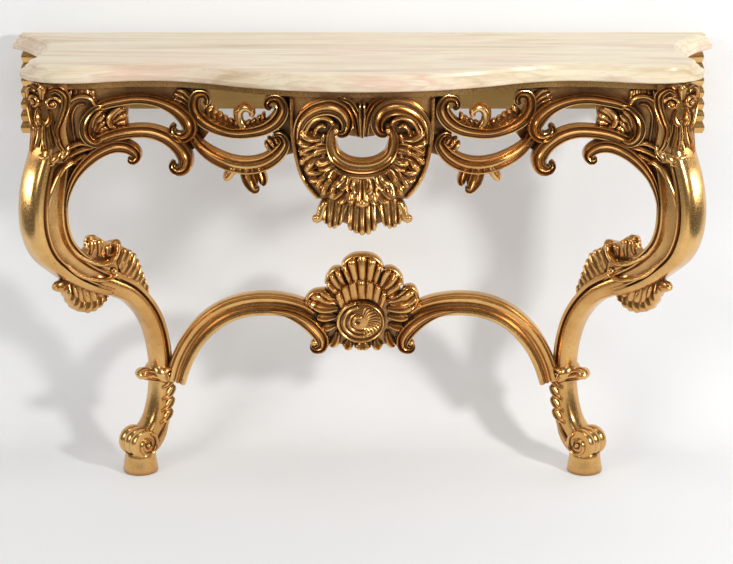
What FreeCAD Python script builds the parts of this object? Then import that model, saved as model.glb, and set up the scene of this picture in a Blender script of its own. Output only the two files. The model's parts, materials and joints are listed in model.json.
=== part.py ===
import FreeCAD, Part
import math
import os

from FreeCAD import Placement, Rotation, Vector

# Carved giltwood console table with a loose serpentine stone top, made to stand against a wall.
# Millimetres. +Z is up, the front faces -Y, the wall is at +Y, the origin is on the floor
# under the middle of the top. Left pieces are modelled and mirrored to the right.

doc = FreeCAD.newDocument("pier_table")

# Driving dimensions: name, millimetres (degrees where the name says angle)
DIMENSIONS = (
    # stone top
    ("top_width", 1424),
    ("top_depth", 456),
    ("table_height", 876),
    ("top_thickness", 30),
    ("edge_inset", 26),
    ("pad_thickness", 1.5),
    ("pad_radius", 9),
    # rails under the top
    ("overhang", 24),
    ("rail_height", 14),
    ("rail_width", 42),
    ("wall_gap", 3),
    ("back_rail_height", 122),
    ("back_rail_thickness", 22),
    ("batten_width", 70),
    ("side_apron_height", 104),
    ("side_apron_thickness", 24),
    ("side_apron_arch", 30),
    ("stile_width", 44),
    ("stile_depth", 40),
    ("stile_height", 170),
    ("stile_margin", 12),
    ("stile_fillet", 6),
    ("corner_block_leg", 46),
    ("corner_block_height", 60),
    # pierced apron
    ("apron_drop", 180),
    ("apron_setback", 14),
    ("apron_board", 24),
    ("scroll_radius", 11),
    ("drop_leaf_radius", 7),
    ("shell_half_width", 138),
    ("shell_height", 200),
    ("shell_thickness", 30),
    ("shell_setback", 14),
    ("shell_scroll_radius", 11),
    ("shell_rim_radius", 8),
    ("flute_radius", 9),
    ("pendant_half_width", 88),
    ("pendant_height", 64),
    ("pendant_thickness", 26),
    # legs
    ("leg_angle", 42),
    ("post_width", 40),
    ("post_thickness", 60),
    ("post_overlap", 20),
    ("knee_width", 72),
    ("ankle_width", 35),
    ("ankle_thickness", 42),
    ("toe_reach", 12),
    ("toe_height", 65),
    ("toe_radius", 29),
    ("toe_length", 58),
    ("toe_eye_radius", 11),
    ("toe_eye_height", 4),
    ("foot_radius", 36),
    ("foot_neck_radius", 31),
    ("foot_height", 46),
    ("foot_edge", 5),
    ("knee_carving_thickness", 13),
    ("knee_scroll_radius", 7),
    ("leaf_radius", 13),
    ("collar_height", 30),
    ("collar_margin", 7),
    ("collar_tip", 16),
    ("collar_tip_width", 19),
    # stretcher
    ("arm_width", 46),
    ("arm_depth", 34),
    ("arm_bead_radius", 8),
    ("cartouche_half_width", 118),
    ("cartouche_height", 213),
    ("cartouche_depth", 36),
    ("boss_radius", 46),
    ("boss_height", 16),
    ("boss_scroll_radius", 6),
    # fixings
    ("dowel_radius", 5),
    ("dowel_length", 36),
    ("fit_clearance", 0.1),
    ("screw_radius", 2),
    ("screw_head_radius", 4),
    ("screw_head_height", 2.4),
    ("screw_length", 20),
    ("plate_width", 30),
    ("plate_height", 64),
    ("plate_thickness", 2),
    ("plate_drop", 26),
    ("plate_hole_radius", 2.75),
)

# Lengths that follow the size of the whole table: name, dimension, share of it
FOLLOWING_SHARES = (
    ("apron_reach", "top_width", 0.3933),
    ("foot_reach", "top_width", 0.3210),
    ("plate_reach", "top_width", 0.3600),
    ("arm_spring_reach", "top_width", 0.2697),
    ("knee_reach", "top_width", 0.1468),
    ("post_reach", "top_width", 0.1306),
    ("foot_forward", "top_depth", 0.4452),
    ("stretcher_forward", "top_depth", 0.3860),
    ("leg_height", "table_height", 0.7991),
    ("knee_carving_height", "table_height", 0.1461),
    ("arm_spring_height", "table_height", 0.2146),
    ("arch_height", "table_height", 0.4030),
    ("cartouche_bottom", "table_height", 0.2900),
)

sheet = doc.addObject("Spreadsheet::Sheet", "Sizes")
cells = [(name, str(value)) for name, value in DIMENSIONS]
cells += [(name, f"={whole} * {share}") for name, whole, share in FOLLOWING_SHARES]
for row, (name, content) in enumerate(cells, start=1):
    sheet.set(f"A{row}", name)
    sheet.set(f"B{row}", content)
    sheet.setAlias(f"B{row}", name)
doc.recompute()


def size(name):
    """Read one driving dimension from the sheet."""
    return float(sheet.get(name))


FRAME_TOP = size("table_height") - size("top_thickness") - size("pad_thickness")
FRAME_TOP_CELLS = "(Sizes.table_height - Sizes.top_thickness - Sizes.pad_thickness)"
HOLE_RADIUS_CELLS = "(Sizes.dowel_radius + Sizes.fit_clearance)"
RAIL_BOTTOM = FRAME_TOP - size("rail_height")
WALL = size("top_depth") / 2
BACK_FACE = WALL - size("wall_gap")
LEG_TURN = 180 + size("leg_angle")
LEG_FRAME = Placement(
    Vector(-size("foot_reach"), WALL - size("foot_forward"), 0),
    Rotation(Vector(0, 0, 1), LEG_TURN),
)

# Half outline of the stone top from the middle of the front round to the wall.
# Shares of half the width and of the depth, and the direction of travel in degrees.
TOP_OUTLINE_SHARES = (
    (0.000, 1.000, 180),
    (0.379, 0.852, 151),
    (0.567, 0.765, 180),
    (0.688, 0.796, 198),
    (0.803, 0.824, 180),
    (0.927, 0.633, 90),
    (0.9185, 0.561, 69),
    (0.899, 0.396, 90),
    (1.000, 0.050, 135),
)
# Edge moulding of the top: share of the inset and of the thickness, from the lower lip up
MOULDING_SHARES = (
    (0.10, 0.00),
    (0.00, 0.08),
    (0.00, 0.32),
    (0.20, 0.36),
    (0.45, 0.64),
    (0.66, 0.70),
    (0.72, 0.90),
    (1.00, 1.00),
)
STRAIGHT_SHARE = 0.000001


# Curves made of tangent arcs
def heading(degrees):
    """Unit vector in the XY plane."""
    return Vector(math.cos(math.radians(degrees)), math.sin(math.radians(degrees)), 0)


def arc_points(start, direction, end):
    """Middle and centre of the arc that leaves start along direction and ends at end."""
    chord = end - start
    side = chord - direction * chord.dot(direction)
    if side.Length < chord.Length * STRAIGHT_SHARE:
        return (start + end) * 0.5, None
    radius = chord.dot(chord) / (2 * side.Length)
    centre = start + side * (radius / side.Length)
    outward = (start - centre) + (end - centre)
    if chord.dot(direction) < 0:
        outward = outward * -1
    return centre + outward * (radius / outward.Length), centre


def join_point(start, start_direction, end, end_direction):
    """Point where the two tangent arcs between two directed points meet."""
    span = end - start
    lean = span.dot(start_direction + end_direction)
    spread = 2 * (1 - start_direction.dot(end_direction))
    if spread < STRAIGHT_SHARE:
        reach = span.dot(span) / (2 * lean)
    else:
        reach = (math.sqrt(lean * lean + spread * span.dot(span)) - lean) / spread
    return (start + end + (start_direction - end_direction) * reach) * 0.5


def arc_chain(nodes):
    """Arcs (start, middle, end, centre) through a list of (point, direction)."""
    arcs = []
    for (start, first), (end, last) in zip(nodes, nodes[1:]):
        join = join_point(start, first, end, last)
        middle, centre = arc_points(start, first, join)
        arcs.append((start, middle, join, centre))
        middle, centre = arc_points(end, last * -1, join)
        arcs.append((join, middle, end, centre))
    return arcs


def arc_geometry(arcs):
    """Curves for a sketch or a wire, each arc turning anticlockwise."""
    curves = []
    for start, middle, end, centre in arcs:
        if centre is None:
            curves.append(Part.LineSegment(start, end))
        elif (middle - start).cross(end - middle).z < 0:
            curves.append(Part.Arc(end, middle, start))
        else:
            curves.append(Part.Arc(start, middle, end))
    return curves


def polygon(points):
    """Closed run of straight lines for a sketch."""
    return [Part.LineSegment(a, b) for a, b in zip(points, points[1:] + points[:1])]


# Plan of the top and of what follows its outline
def outline_nodes(inset):
    """Left half outline moved inward by inset."""
    nodes = []
    for across_share, depth_share, angle in TOP_OUTLINE_SHARES:
        direction = heading(angle)
        inward = Vector(direction.y, -direction.x, 0)
        corner = Vector(
            -across_share * size("top_width") / 2,
            WALL - depth_share * size("top_depth"),
            0,
        )
        nodes.append((corner + inward * inset, direction))
    return nodes


def mirrored_arcs(arcs):
    """The same arcs on the right-hand side."""
    def flip(point):
        return None if point is None else Vector(-point.x, point.y, point.z)
    return [tuple(flip(point) for point in arc) for arc in arcs]


FRONT_NODES = 5


def front_y(across, inset):
    """Y and slope of the serpentine front at one X on the left half."""
    for start, middle, end, centre in arc_chain(outline_nodes(inset)[:FRONT_NODES]):
        if end.x <= across <= start.x:
            if centre is None:
                slope = (end.y - start.y) / (end.x - start.x)
                return start.y + slope * (across - start.x), slope
            radius = (start - centre).Length
            rise = math.sqrt(radius ** 2 - (across - centre.x) ** 2)
            y = centre.y + math.copysign(rise, middle.y - centre.y)
            return y, -(across - centre.x) / (y - centre.y)
    raise ValueError("no front at this X")


def front_node(across, height, angle, inset):
    """Directed point on the serpentine front, angle seen from the front, on either half."""
    y, slope = front_y(-abs(across), inset)
    slope = slope if across <= 0 else -slope
    along = math.cos(math.radians(angle))
    direction = Vector(along, slope * along, math.sin(math.radians(angle)))
    return Vector(across, y, height), direction.normalize()


# Helpers for document objects
def new_body(label):
    body = doc.addObject("PartDesign::Body", label)
    body.Label = label
    return body


def new_sketch(body, role, geometry, offset=None, lift=None):
    """Sketch on one of the body's own planes; lift is an expression for its height."""
    plane = next(item for item in body.Origin.OriginFeatures if item.Role == role)
    sketch = body.newObject("Sketcher::SketchObject", "Outline")
    sketch.AttachmentSupport = (plane, [""])
    sketch.MapMode = "FlatFace"
    if offset is not None:
        sketch.AttachmentOffset = offset
    if lift is not None:
        sketch.setExpression("AttachmentOffset.Base.z", lift)
    sketch.addGeometry(geometry, False)
    return sketch


def pad(body, sketch, length, symmetric=False):
    """Pad whose length is an expression on the sheet."""
    feature = body.newObject("PartDesign::Pad", "Pad")
    feature.Profile = sketch
    feature.setExpression("Length", length)
    if symmetric:
        feature.SideType = "Symmetric"
    body.Tip = feature
    return feature


def pocket(body, sketch, length):
    """Pocket cut both ways from its sketch."""
    feature = body.newObject("PartDesign::Pocket", "Pocket")
    feature.Profile = sketch
    feature.SideType = "Symmetric"
    feature.setExpression("Length", length)
    body.Tip = feature
    return feature


def revolve(body, sketch):
    feature = body.newObject("PartDesign::Revolution", "Revolution")
    feature.Profile = sketch
    feature.ReferenceAxis = (sketch, ["V_Axis"])
    body.Tip = feature
    return feature


def loft(body, sketches, ruled):
    feature = body.newObject("PartDesign::AdditiveLoft", "Loft")
    feature.Profile = sketches[0]
    feature.Sections = sketches[1:]
    feature.Ruled = ruled
    body.Tip = feature
    return feature


def cut(label, base, tool):
    feature = doc.addObject("Part::Cut", label)
    feature.Base = base
    feature.Tool = tool
    feature.Label = label
    return feature


def carved(label, shape):
    """Freely carved piece whose shape is worked out from the sheet."""
    feature = doc.addObject("Part::Feature", label)
    feature.Label = label
    feature.Shape = shape
    feature.Placement = Placement()
    return feature


def cylinder(label, radius, length, place):
    """Part cylinder bound to two expressions."""
    feature = doc.addObject("Part::Cylinder", label)
    feature.setExpression("Radius", radius)
    feature.setExpression("Height", length)
    feature.Placement = place
    return feature


def group(label, members):
    """Several equal solids in one node."""
    feature = doc.addObject("Part::Compound", label)
    feature.Links = members
    feature.Label = label
    return feature


pieces = []


def keep(feature, label=None):
    """List a finished sub-part under its name."""
    if label is not None:
        feature.Label = label
    pieces.append(feature)
    return feature


def mirrored(left):
    """Mirror image of a left piece on the right."""
    right = doc.addObject("Part::Mirroring", "mirrored")
    right.Source = left
    right.Base = Vector(0, 0, 0)
    right.Normal = Vector(1, 0, 0)
    return right


def keep_pair(left, name):
    """Keep a left piece and its mirror image on the right."""
    keep(left, f"{name}_left")
    keep(mirrored(left), f"{name}_right")


# Solids for carved work
RIDGE_SIDES = 4
FRONTWARD = Vector(0, -1, 0)
# Share of its radius by which a scroll's middle lies behind the face that it stands on
SINK_SHARE = 0.3
LOBE_POINT_SHARE = 0.8
LOBE_TIP_SHARE = 0.45


def ridged_corners(start, direction, radius, outward):
    """Corners of a diamond across a path with one corner outward, for scrolls with a ridge."""
    side = direction.cross(outward)
    side.normalize()
    front = side.cross(direction)
    corners = []
    for number in range(RIDGE_SIDES):
        turn = 2 * math.pi * number / RIDGE_SIDES
        corners.append(start + (front * math.cos(turn) + side * math.sin(turn)) * radius)
    return corners


def plane_face(corners):
    return Part.Face(Part.makePolygon(corners + corners[:1]))


def ridged_scroll(nodes, radius, outward=FRONTWARD):
    """Scroll with a ridge along tangent arcs."""
    edges = [edge.toShape() for edge in space_curves(arc_chain(nodes))]
    path = Part.Wire(edges)
    corners = ridged_corners(nodes[0][0], nodes[0][1], radius, outward)
    ring = Part.makePolygon(corners + corners[:1])
    return path.makePipeShell([ring], True, False)


def space_curves(arcs):
    curves = []
    for start, middle, end, centre in arcs:
        if centre is None:
            curves.append(Part.LineSegment(start, end))
        else:
            curves.append(Part.Arc(start, middle, end))
    return curves


def lobe(start, end, small, large, outward=FRONTWARD):
    """Tapered lobe of plane faces with an outward ridge and a blunt point."""
    along = end - start
    along.normalize()
    point = end + along * (LOBE_POINT_SHARE * large)
    rings = [
        ridged_corners(start, along, small, outward),
        ridged_corners(end, along, large, outward),
        ridged_corners(point, along, LOBE_TIP_SHARE * large, outward),
    ]
    faces = [plane_face(rings[0]), plane_face(rings[-1])]
    for low, high in zip(rings, rings[1:]):
        for corner in range(RIDGE_SIDES):
            following = (corner + 1) % RIDGE_SIDES
            faces.append(plane_face([low[corner], low[following], high[following], high[corner]]))
    return Part.makeSolid(Part.makeShell(faces))


def united(solids):
    """One clean solid out of overlapping ones."""
    whole = solids[0].multiFuse(solids[1:]).removeSplitter()
    return max(whole.Solids, key=lambda solid: solid.Volume)


def slab_above(height):
    """Block that takes away everything above one height."""
    width = size("top_width")
    depth = 2 * size("top_depth")
    tall = size("table_height")
    return Part.makeBox(width, depth, tall, Vector(-width / 2, -depth / 2, height))


def front_band(inset, thickness, low, high, half_width):
    """Serpentine board between two heights, mirrored about the middle."""
    reach = -half_width
    nodes = outline_nodes(inset)[:FRONT_NODES]
    left = arc_chain(nodes)
    face_curves = left + mirrored_arcs(left)
    move = Vector(0, thickness, 0)
    back_curves = [tuple(None if p is None else p + move for p in arc) for arc in face_curves]
    tip = nodes[-1][0]
    ends = [
        Part.LineSegment(tip, tip + move),
        Part.LineSegment(Vector(-tip.x, tip.y, 0), Vector(-tip.x, tip.y, 0) + move),
    ]
    edges = [c.toShape() for c in arc_geometry(face_curves) + arc_geometry(back_curves) + ends]
    outline = Part.Wire(Part.__sortEdges__(edges))
    band = Part.Face(outline).extrude(Vector(0, 0, high - low))
    band.translate(Vector(0, 0, low))
    depth = 2 * size("top_depth")
    window = Part.makeBox(-2 * reach, depth, high - low, Vector(reach, -depth / 2, low))
    return band.common(window)


def front_prism(curves):
    """Solid through the whole depth from an outline drawn in the XZ plane."""
    wire = Part.Wire(Part.__sortEdges__([curve.toShape() for curve in curves]))
    depth = 2 * size("top_depth")
    prism = Part.Face(wire).extrude(Vector(0, depth, 0))
    prism.translate(Vector(0, -depth / 2, 0))
    return prism


def upright(across, height):
    return Vector(across, 0, height)


def upright_chain(points):
    """Tangent arcs in the XZ plane through (x, z, angle)."""
    nodes = []
    for across, height, angle in points:
        turn = math.radians(angle)
        nodes.append((upright(across, height), Vector(math.cos(turn), 0, math.sin(turn))))
    return space_curves(arc_chain(nodes))


# Stone top
def make_top():
    body = new_body("marble_top")
    sketches = []
    for inset_share, height_share in MOULDING_SHARES:
        nodes = outline_nodes(inset_share * size("edge_inset"))
        left = arc_chain(nodes)
        tip = nodes[-1][0]
        rear = [
            Vector(tip.x, tip.y, 0),
            Vector(tip.x, WALL, 0),
            Vector(-tip.x, WALL, 0),
            Vector(-tip.x, tip.y, 0),
        ]
        lines = [Part.LineSegment(a, b) for a, b in zip(rear, rear[1:])]
        outline = arc_geometry(left) + arc_geometry(mirrored_arcs(left)) + lines
        lift = f"Sizes.table_height - (1 - {height_share}) * Sizes.top_thickness"
        sketches.append(new_sketch(body, "XY_Plane", outline, lift=lift))
    loft(body, sketches, True)
    keep(body)


# Straight and serpentine rails
def leg_point(reach, side, height=0):
    """Point in the frame of the left leg, in the table's own frame."""
    return LEG_FRAME.multVec(Vector(reach, side, height))


def beyond_post(side):
    """Plan outline of everything past one side face of the left post."""
    near = side * size("post_thickness") / 2
    far = near - side * size("top_width")
    ends = (-size("top_width"), size("top_width"))
    return polygon([
        leg_point(ends[0], near),
        leg_point(ends[1], near),
        leg_point(ends[1], far),
        leg_point(ends[0], far),
    ])


def mirrored_lines(lines):
    flipped = []
    for line in lines:
        start, end = line.StartPoint, line.EndPoint
        flipped.append(Part.LineSegment(Vector(-start.x, start.y, 0), Vector(-end.x, end.y, 0)))
    return flipped


def make_front_rail():
    body = new_body("front_rail")
    outer = arc_chain(outline_nodes(size("overhang"))[:FRONT_NODES])
    inner = arc_chain(outline_nodes(size("overhang") + size("rail_width"))[:FRONT_NODES])
    outer_end = outer[-1][2]
    inner_end = inner[-1][2]
    ends = [
        Part.LineSegment(outer_end, inner_end),
        Part.LineSegment(Vector(-outer_end.x, outer_end.y, 0), Vector(-inner_end.x, inner_end.y, 0)),
    ]
    arcs = outer + mirrored_arcs(outer) + inner + mirrored_arcs(inner)
    lift = f"{FRAME_TOP_CELLS} - Sizes.rail_height"
    sketch = new_sketch(body, "XY_Plane", arc_geometry(arcs) + ends, lift=lift)
    pad(body, sketch, "Sizes.rail_height")
    past = beyond_post(1)
    for outline in (past, mirrored_lines(past)):
        sketch = new_sketch(body, "XY_Plane", outline, lift=FRAME_TOP_CELLS)
        pocket(body, sketch, "4 * Sizes.rail_height")
    keep(body)


def rectangle(low_x, low_y, high_x, high_y):
    return polygon([
        Vector(low_x, low_y, 0),
        Vector(high_x, low_y, 0),
        Vector(high_x, high_y, 0),
        Vector(low_x, high_y, 0),
    ])


STILE_INNER = size("top_width") / 2 - size("stile_margin") - size("stile_width")
STILE_FRONT = BACK_FACE - size("stile_depth")


def make_stiles():
    body = new_body("rear_stile_left")
    outer = STILE_INNER + size("stile_width")
    outline = rectangle(-outer, STILE_FRONT, -STILE_INNER, BACK_FACE)
    lift = f"{FRAME_TOP_CELLS} - Sizes.stile_height"
    sketch = new_sketch(body, "XY_Plane", outline, lift=lift)
    base = pad(body, sketch, "Sizes.stile_height")
    doc.recompute()
    lowest = [
        f"Edge{number}"
        for number, edge in enumerate(base.Shape.Edges, start=1)
        if edge.BoundBox.ZMax < FRAME_TOP - size("stile_height") / 2
        and edge.BoundBox.YMax < BACK_FACE - size("stile_fillet")
    ]
    rounding = body.newObject("PartDesign::Fillet", "Rounding")
    rounding.Base = (base, lowest)
    rounding.setExpression("Radius", "Sizes.stile_fillet")
    body.Tip = rounding
    keep_pair(body, "rear_stile")


def make_back_rail():
    body = new_body("back_rail_blank")
    front = BACK_FACE - size("back_rail_thickness")
    outline = rectangle(-STILE_INNER, front, STILE_INNER, BACK_FACE)
    lift = f"{FRAME_TOP_CELLS} - Sizes.back_rail_height"
    sketch = new_sketch(body, "XY_Plane", outline, lift=lift)
    pad(body, sketch, "Sizes.back_rail_height")
    return body


def make_cross_batten():
    body = new_body("cross_batten")
    inset = size("overhang") + size("rail_width")
    half = size("batten_width") / 2
    edge_y = front_y(-half, inset)[0]
    middle_y = front_y(0, inset)[0]
    back_y = BACK_FACE - size("back_rail_thickness")
    left_front = Vector(-half, edge_y, 0)
    right_front = Vector(half, edge_y, 0)
    outline = [
        Part.Arc(left_front, Vector(0, middle_y, 0), right_front),
        Part.LineSegment(right_front, Vector(half, back_y, 0)),
        Part.LineSegment(Vector(half, back_y, 0), Vector(-half, back_y, 0)),
        Part.LineSegment(Vector(-half, back_y, 0), left_front),
    ]
    lift = f"{FRAME_TOP_CELLS} - Sizes.rail_height"
    sketch = new_sketch(body, "XY_Plane", outline, lift=lift)
    pad(body, sketch, "Sizes.rail_height")
    keep(body)


SIDE_FIRST_NODE = 5
SIDE_ARCH_SHARE = 0.12


def make_side_aprons():
    body = new_body("side_apron_left")
    outer = arc_chain(outline_nodes(size("overhang"))[SIDE_FIRST_NODE - 1:])
    inner_inset = size("overhang") + size("side_apron_thickness")
    inner = arc_chain(outline_nodes(inner_inset)[SIDE_FIRST_NODE - 1:])
    ends = [
        Part.LineSegment(outer[0][0], inner[0][0]),
        Part.LineSegment(outer[-1][2], inner[-1][2]),
    ]
    lift = f"{FRAME_TOP_CELLS} - Sizes.side_apron_height"
    sketch = new_sketch(body, "XY_Plane", arc_geometry(outer + inner) + ends, lift=lift)
    pad(body, sketch, "Sizes.side_apron_height")
    through = "4 * Sizes.table_height"
    sketch = new_sketch(body, "XY_Plane", beyond_post(-1), lift=FRAME_TOP_CELLS)
    pocket(body, sketch, through)
    behind = rectangle(-size("top_width"), STILE_FRONT, size("top_width"), 2 * WALL)
    sketch = new_sketch(body, "XY_Plane", behind, lift=FRAME_TOP_CELLS)
    pocket(body, sketch, through)
    low = FRAME_TOP - size("side_apron_height")
    front = leg_point(size("post_reach"), 0).y
    span = STILE_FRONT - front
    start = Vector(STILE_FRONT - SIDE_ARCH_SHARE * span, low, 0)
    end = Vector(front + SIDE_ARCH_SHARE * span, low, 0)
    crown = Vector((start.x + end.x) / 2, low + size("side_apron_arch"), 0)
    arch = [Part.Arc(end, crown, start), Part.LineSegment(start, end)]
    pocket(body, new_sketch(body, "YZ_Plane", arch), "4 * Sizes.top_width")
    keep_pair(body, "side_apron")


def make_corner_blocks():
    body = new_body("corner_block_left")
    back_y = BACK_FACE - size("back_rail_thickness")
    leg = size("corner_block_leg")
    inner_x = -STILE_INNER
    outline = polygon([
        Vector(inner_x, back_y, 0),
        Vector(inner_x + leg, back_y, 0),
        Vector(inner_x, STILE_FRONT, 0),
    ])
    lift = f"{FRAME_TOP_CELLS} - Sizes.corner_block_height"
    sketch = new_sketch(body, "XY_Plane", outline, lift=lift)
    pad(body, sketch, "Sizes.corner_block_height")
    keep_pair(body, "corner_block")


# Legs. Reach and height are shares of the knee's reach and of the leg's height.
LEG_PATH_SHARES = (
    (0.909, 1.000, -72, 0.94, 1.00),
    (1.000, 0.836, -90, 1.00, 1.00),
    (0.828, 0.697, -133, 0.88, 0.90),
    (0.297, 0.597, -154, 0.48, 0.56),
    (-0.053, 0.517, -128, 0.29, 0.28),
    (-0.215, 0.410, -105, 0.10, 0.10),
    (-0.268, 0.293, -90, 0.00, 0.00),
    (-0.230, 0.184, -75, 0.22, 0.00),
)
# End of the leg on the rolled toe: shares of the roll's radius from its middle, then as above
TOE_JOIN_SHARES = (-1.10, 0.30, -50, 0.52, 0.06)
LEG_BEVEL_SHARE = 0.22


def between(low, high, share):
    return low + (high - low) * share


def moulded_section(width, thickness):
    """Rectangle with broad bevels about the origin, so that arrises run along the leg."""
    half_w = width / 2
    half_t = thickness / 2
    flat_w = half_w - LEG_BEVEL_SHARE * width
    flat_t = half_t - LEG_BEVEL_SHARE * thickness
    return polygon([
        Vector(half_w, -flat_t, 0),
        Vector(half_w, flat_t, 0),
        Vector(flat_w, half_t, 0),
        Vector(-flat_w, half_t, 0),
        Vector(-half_w, flat_t, 0),
        Vector(-half_w, -flat_t, 0),
        Vector(-flat_w, -half_t, 0),
        Vector(flat_w, -half_t, 0),
    ])


def leg_node(point, angle, wide_share, thick_share):
    """Place, direction, width and thickness of the leg, between those of ankle and knee."""
    width = between(size("ankle_width"), size("knee_width"), wide_share)
    thickness = between(size("ankle_thickness"), size("post_thickness"), thick_share)
    return point, heading(angle), width, thickness


def toe_middle():
    return Vector(size("toe_reach"), size("toe_height"), 0)


def leg_stations():
    """Nodes along the left leg, from the post to the toe, with one more between each two."""
    nodes = []
    for reach_share, height_share, *form in LEG_PATH_SHARES:
        point = Vector(reach_share * size("knee_reach"), height_share * size("leg_height"), 0)
        nodes.append(leg_node(point, *form))
    inward_share, up_share, *form = TOE_JOIN_SHARES
    point = toe_middle() + Vector(inward_share, up_share, 0) * size("toe_radius")
    nodes.append(leg_node(point, *form))
    stations = [nodes[0]]
    for (start, first, w0, t0), (end, last, w1, t1) in zip(nodes, nodes[1:]):
        join = join_point(start, first, end, last)
        chord = end - start
        chord.normalize()
        stations.append((join, chord, (w0 + w1) / 2, (t0 + t1) / 2))
        stations.append((end, last, w1, t1))
    return stations


def make_legs():
    body = new_body("leg_blank")
    sketches = []
    for point, direction, width, thickness in leg_stations():
        tilt = math.degrees(math.atan2(-direction.x, -direction.y))
        offset = Placement(Vector(point.x, 0, point.y), Rotation(Vector(0, 1, 0), tilt))
        outline = moulded_section(width, thickness)
        sketches.append(new_sketch(body, "XY_Plane", outline, offset=offset))
    loft(body, sketches, False)
    half_w = size("post_width") / 2
    half_t = size("post_thickness") / 2
    centre = size("post_reach")
    outline = rectangle(centre - half_w, -half_t, centre + half_w, half_t)
    sketch = new_sketch(body, "XY_Plane", outline, lift="Sizes.leg_height - Sizes.post_overlap")
    pad(body, sketch, f"{FRAME_TOP_CELLS} - Sizes.leg_height + Sizes.post_overlap")
    for radius, length in (
        ("toe_radius", "Sizes.toe_length"),
        ("toe_eye_radius", "Sizes.toe_length + 2 * Sizes.toe_eye_height"),
    ):
        circle = Part.Circle(toe_middle(), Vector(0, 0, 1), size(radius))
        sketch = new_sketch(body, "XZ_Plane", [circle])
        pad(body, sketch, length, symmetric=True)
    body.Placement = LEG_FRAME
    return body


# Foot: shares of the way from its rim to its collar, inward and up
FOOT_PROFILE_SHARES = (
    (0.00, 0.00),
    (0.45, 0.35),
    (0.80, 0.75),
    (1.00, 1.00),
)


def make_feet(leg):
    body = new_body("foot_blank")
    neck = size("foot_neck_radius")
    wide = size("foot_radius")
    edge = size("foot_edge")
    top = size("foot_height")
    corners = [Vector(0, 0, 0), Vector(wide - edge, 0, 0)]
    for inward_share, up_share in FOOT_PROFILE_SHARES:
        corners.append(Vector(between(wide, neck, inward_share), between(edge, top, up_share), 0))
    corners.append(Vector(0, top, 0))
    revolve(body, new_sketch(body, "XZ_Plane", polygon(corners)))
    body.Placement = LEG_FRAME
    seated = cut("foot_seated", body, leg)
    middle = size("toe_height") - size("toe_radius")
    place = Placement(
        leg_point(size("toe_reach") / 2, 0, middle - size("dowel_length") / 2), Rotation()
    )
    dowel = cylinder("foot_dowel", "Sizes.dowel_radius", "Sizes.dowel_length", place)
    hole = cylinder("foot_dowel_hole", HOLE_RADIUS_CELLS, "Sizes.dowel_length", place)
    keep_pair(cut("foot_left", seated, hole), "foot")
    keep_pair(cut("leg_left", leg, hole), "leg")
    keep(group("foot_dowels", [dowel, mirrored(dowel)]))


# Leaves in the plane of the leg: shares of the knee's reach and of the leg's height.
# The first place is where the lobes spring from, the others are their tips.
SCROLL_LEAF_SHARES = (
    (0.30, 0.635),
    (-0.12, 0.640),
    (0.02, 0.685),
    (0.20, 0.703),
    (0.38, 0.722),
    (0.53, 0.745),
)
HANGING_LEAF_SHARES = (
    (0.62, 0.640),
    (0.90, 0.620),
    (0.82, 0.580),
    (0.69, 0.548),
    (0.54, 0.548),
    (0.41, 0.572),
)
LEAF_ROOT_SHARE = 0.8


def make_leaf(name, shares, leg):
    """Leaf of rounded lobes that fan out in the plane of the leg, seated on the leg."""
    places = [
        leg_point(reach * size("knee_reach"), 0, height * size("leg_height"))
        for reach, height in shares
    ]
    tip = size("leaf_radius")
    outward = LEG_FRAME.Rotation.multVec(Vector(0, 1, 0))
    lobes = [lobe(places[0], end, LEAF_ROOT_SHARE * tip, tip, outward) for end in places[1:]]
    blank = carved(f"{name}_blank", united(lobes))
    keep_pair(cut(f"{name}_left", blank, leg), name)


# Collar leaf at the narrowest place of the leg: steps of its height and shares of its swell
ANKLE_STATION = 6
COLLAR_SWELL_SHARES = ((-0.5, 0.0), (0.0, 1.0), (0.5, 0.3))


def make_ankle_leaves(leg):
    body = new_body("ankle_leaf_blank")
    reach = LEG_PATH_SHARES[ANKLE_STATION][0] * size("knee_reach")
    middle = LEG_PATH_SHARES[ANKLE_STATION][1] * size("leg_height")
    width = size("ankle_width") + 2 * size("collar_margin")
    thickness = size("ankle_thickness") + 2 * size("collar_margin")
    sketches = []
    for step, swell in COLLAR_SWELL_SHARES:
        grow = swell * size("collar_margin")
        offset = Placement(Vector(reach, 0, middle + step * size("collar_height")), Rotation())
        outline = moulded_section(width + grow, thickness + grow)
        sketches.append(new_sketch(body, "XY_Plane", outline, offset=offset))
    loft(body, sketches, False)
    rise = size("collar_height") / 4
    tip_x = reach + width / 2 + size("collar_tip")
    outline = polygon([
        Vector(reach, middle - rise, 0),
        Vector(tip_x, middle, 0),
        Vector(tip_x, middle + rise, 0),
        Vector(reach, middle + 2 * rise, 0),
    ])
    pad(body, new_sketch(body, "XZ_Plane", outline), "Sizes.collar_tip_width", symmetric=True)
    body.Placement = LEG_FRAME
    keep_pair(cut("ankle_leaf_left", body, leg), "ankle_leaf")
    return body


# Cartouche on the knee: shares of half the post's thickness and of the carving's height
KNEE_OUTLINE_SHARES = (
    (0.00, 1.00, 180),
    (-0.75, 0.93, 190),
    (-0.98, 0.72, -95),
    (-0.70, 0.45, -75),
    (-0.95, 0.18, -105),
    (-0.55, 0.00, -10),
    (0.00, 0.00, 0),
)
KNEE_SCROLL_SHARES = (
    (-0.30, 0.80, 90),
    (-0.50, 0.92, 180),
    (-0.72, 0.74, -90),
    (-0.40, 0.42, -60),
    (-0.55, 0.15, -110),
)


def knee_node(side, height, angle, reach):
    """Directed point on the front of the left post."""
    turn = math.radians(angle)
    direction = LEG_FRAME.Rotation.multVec(Vector(0, math.cos(turn), math.sin(turn)))
    return leg_point(reach, side, height), direction


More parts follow.
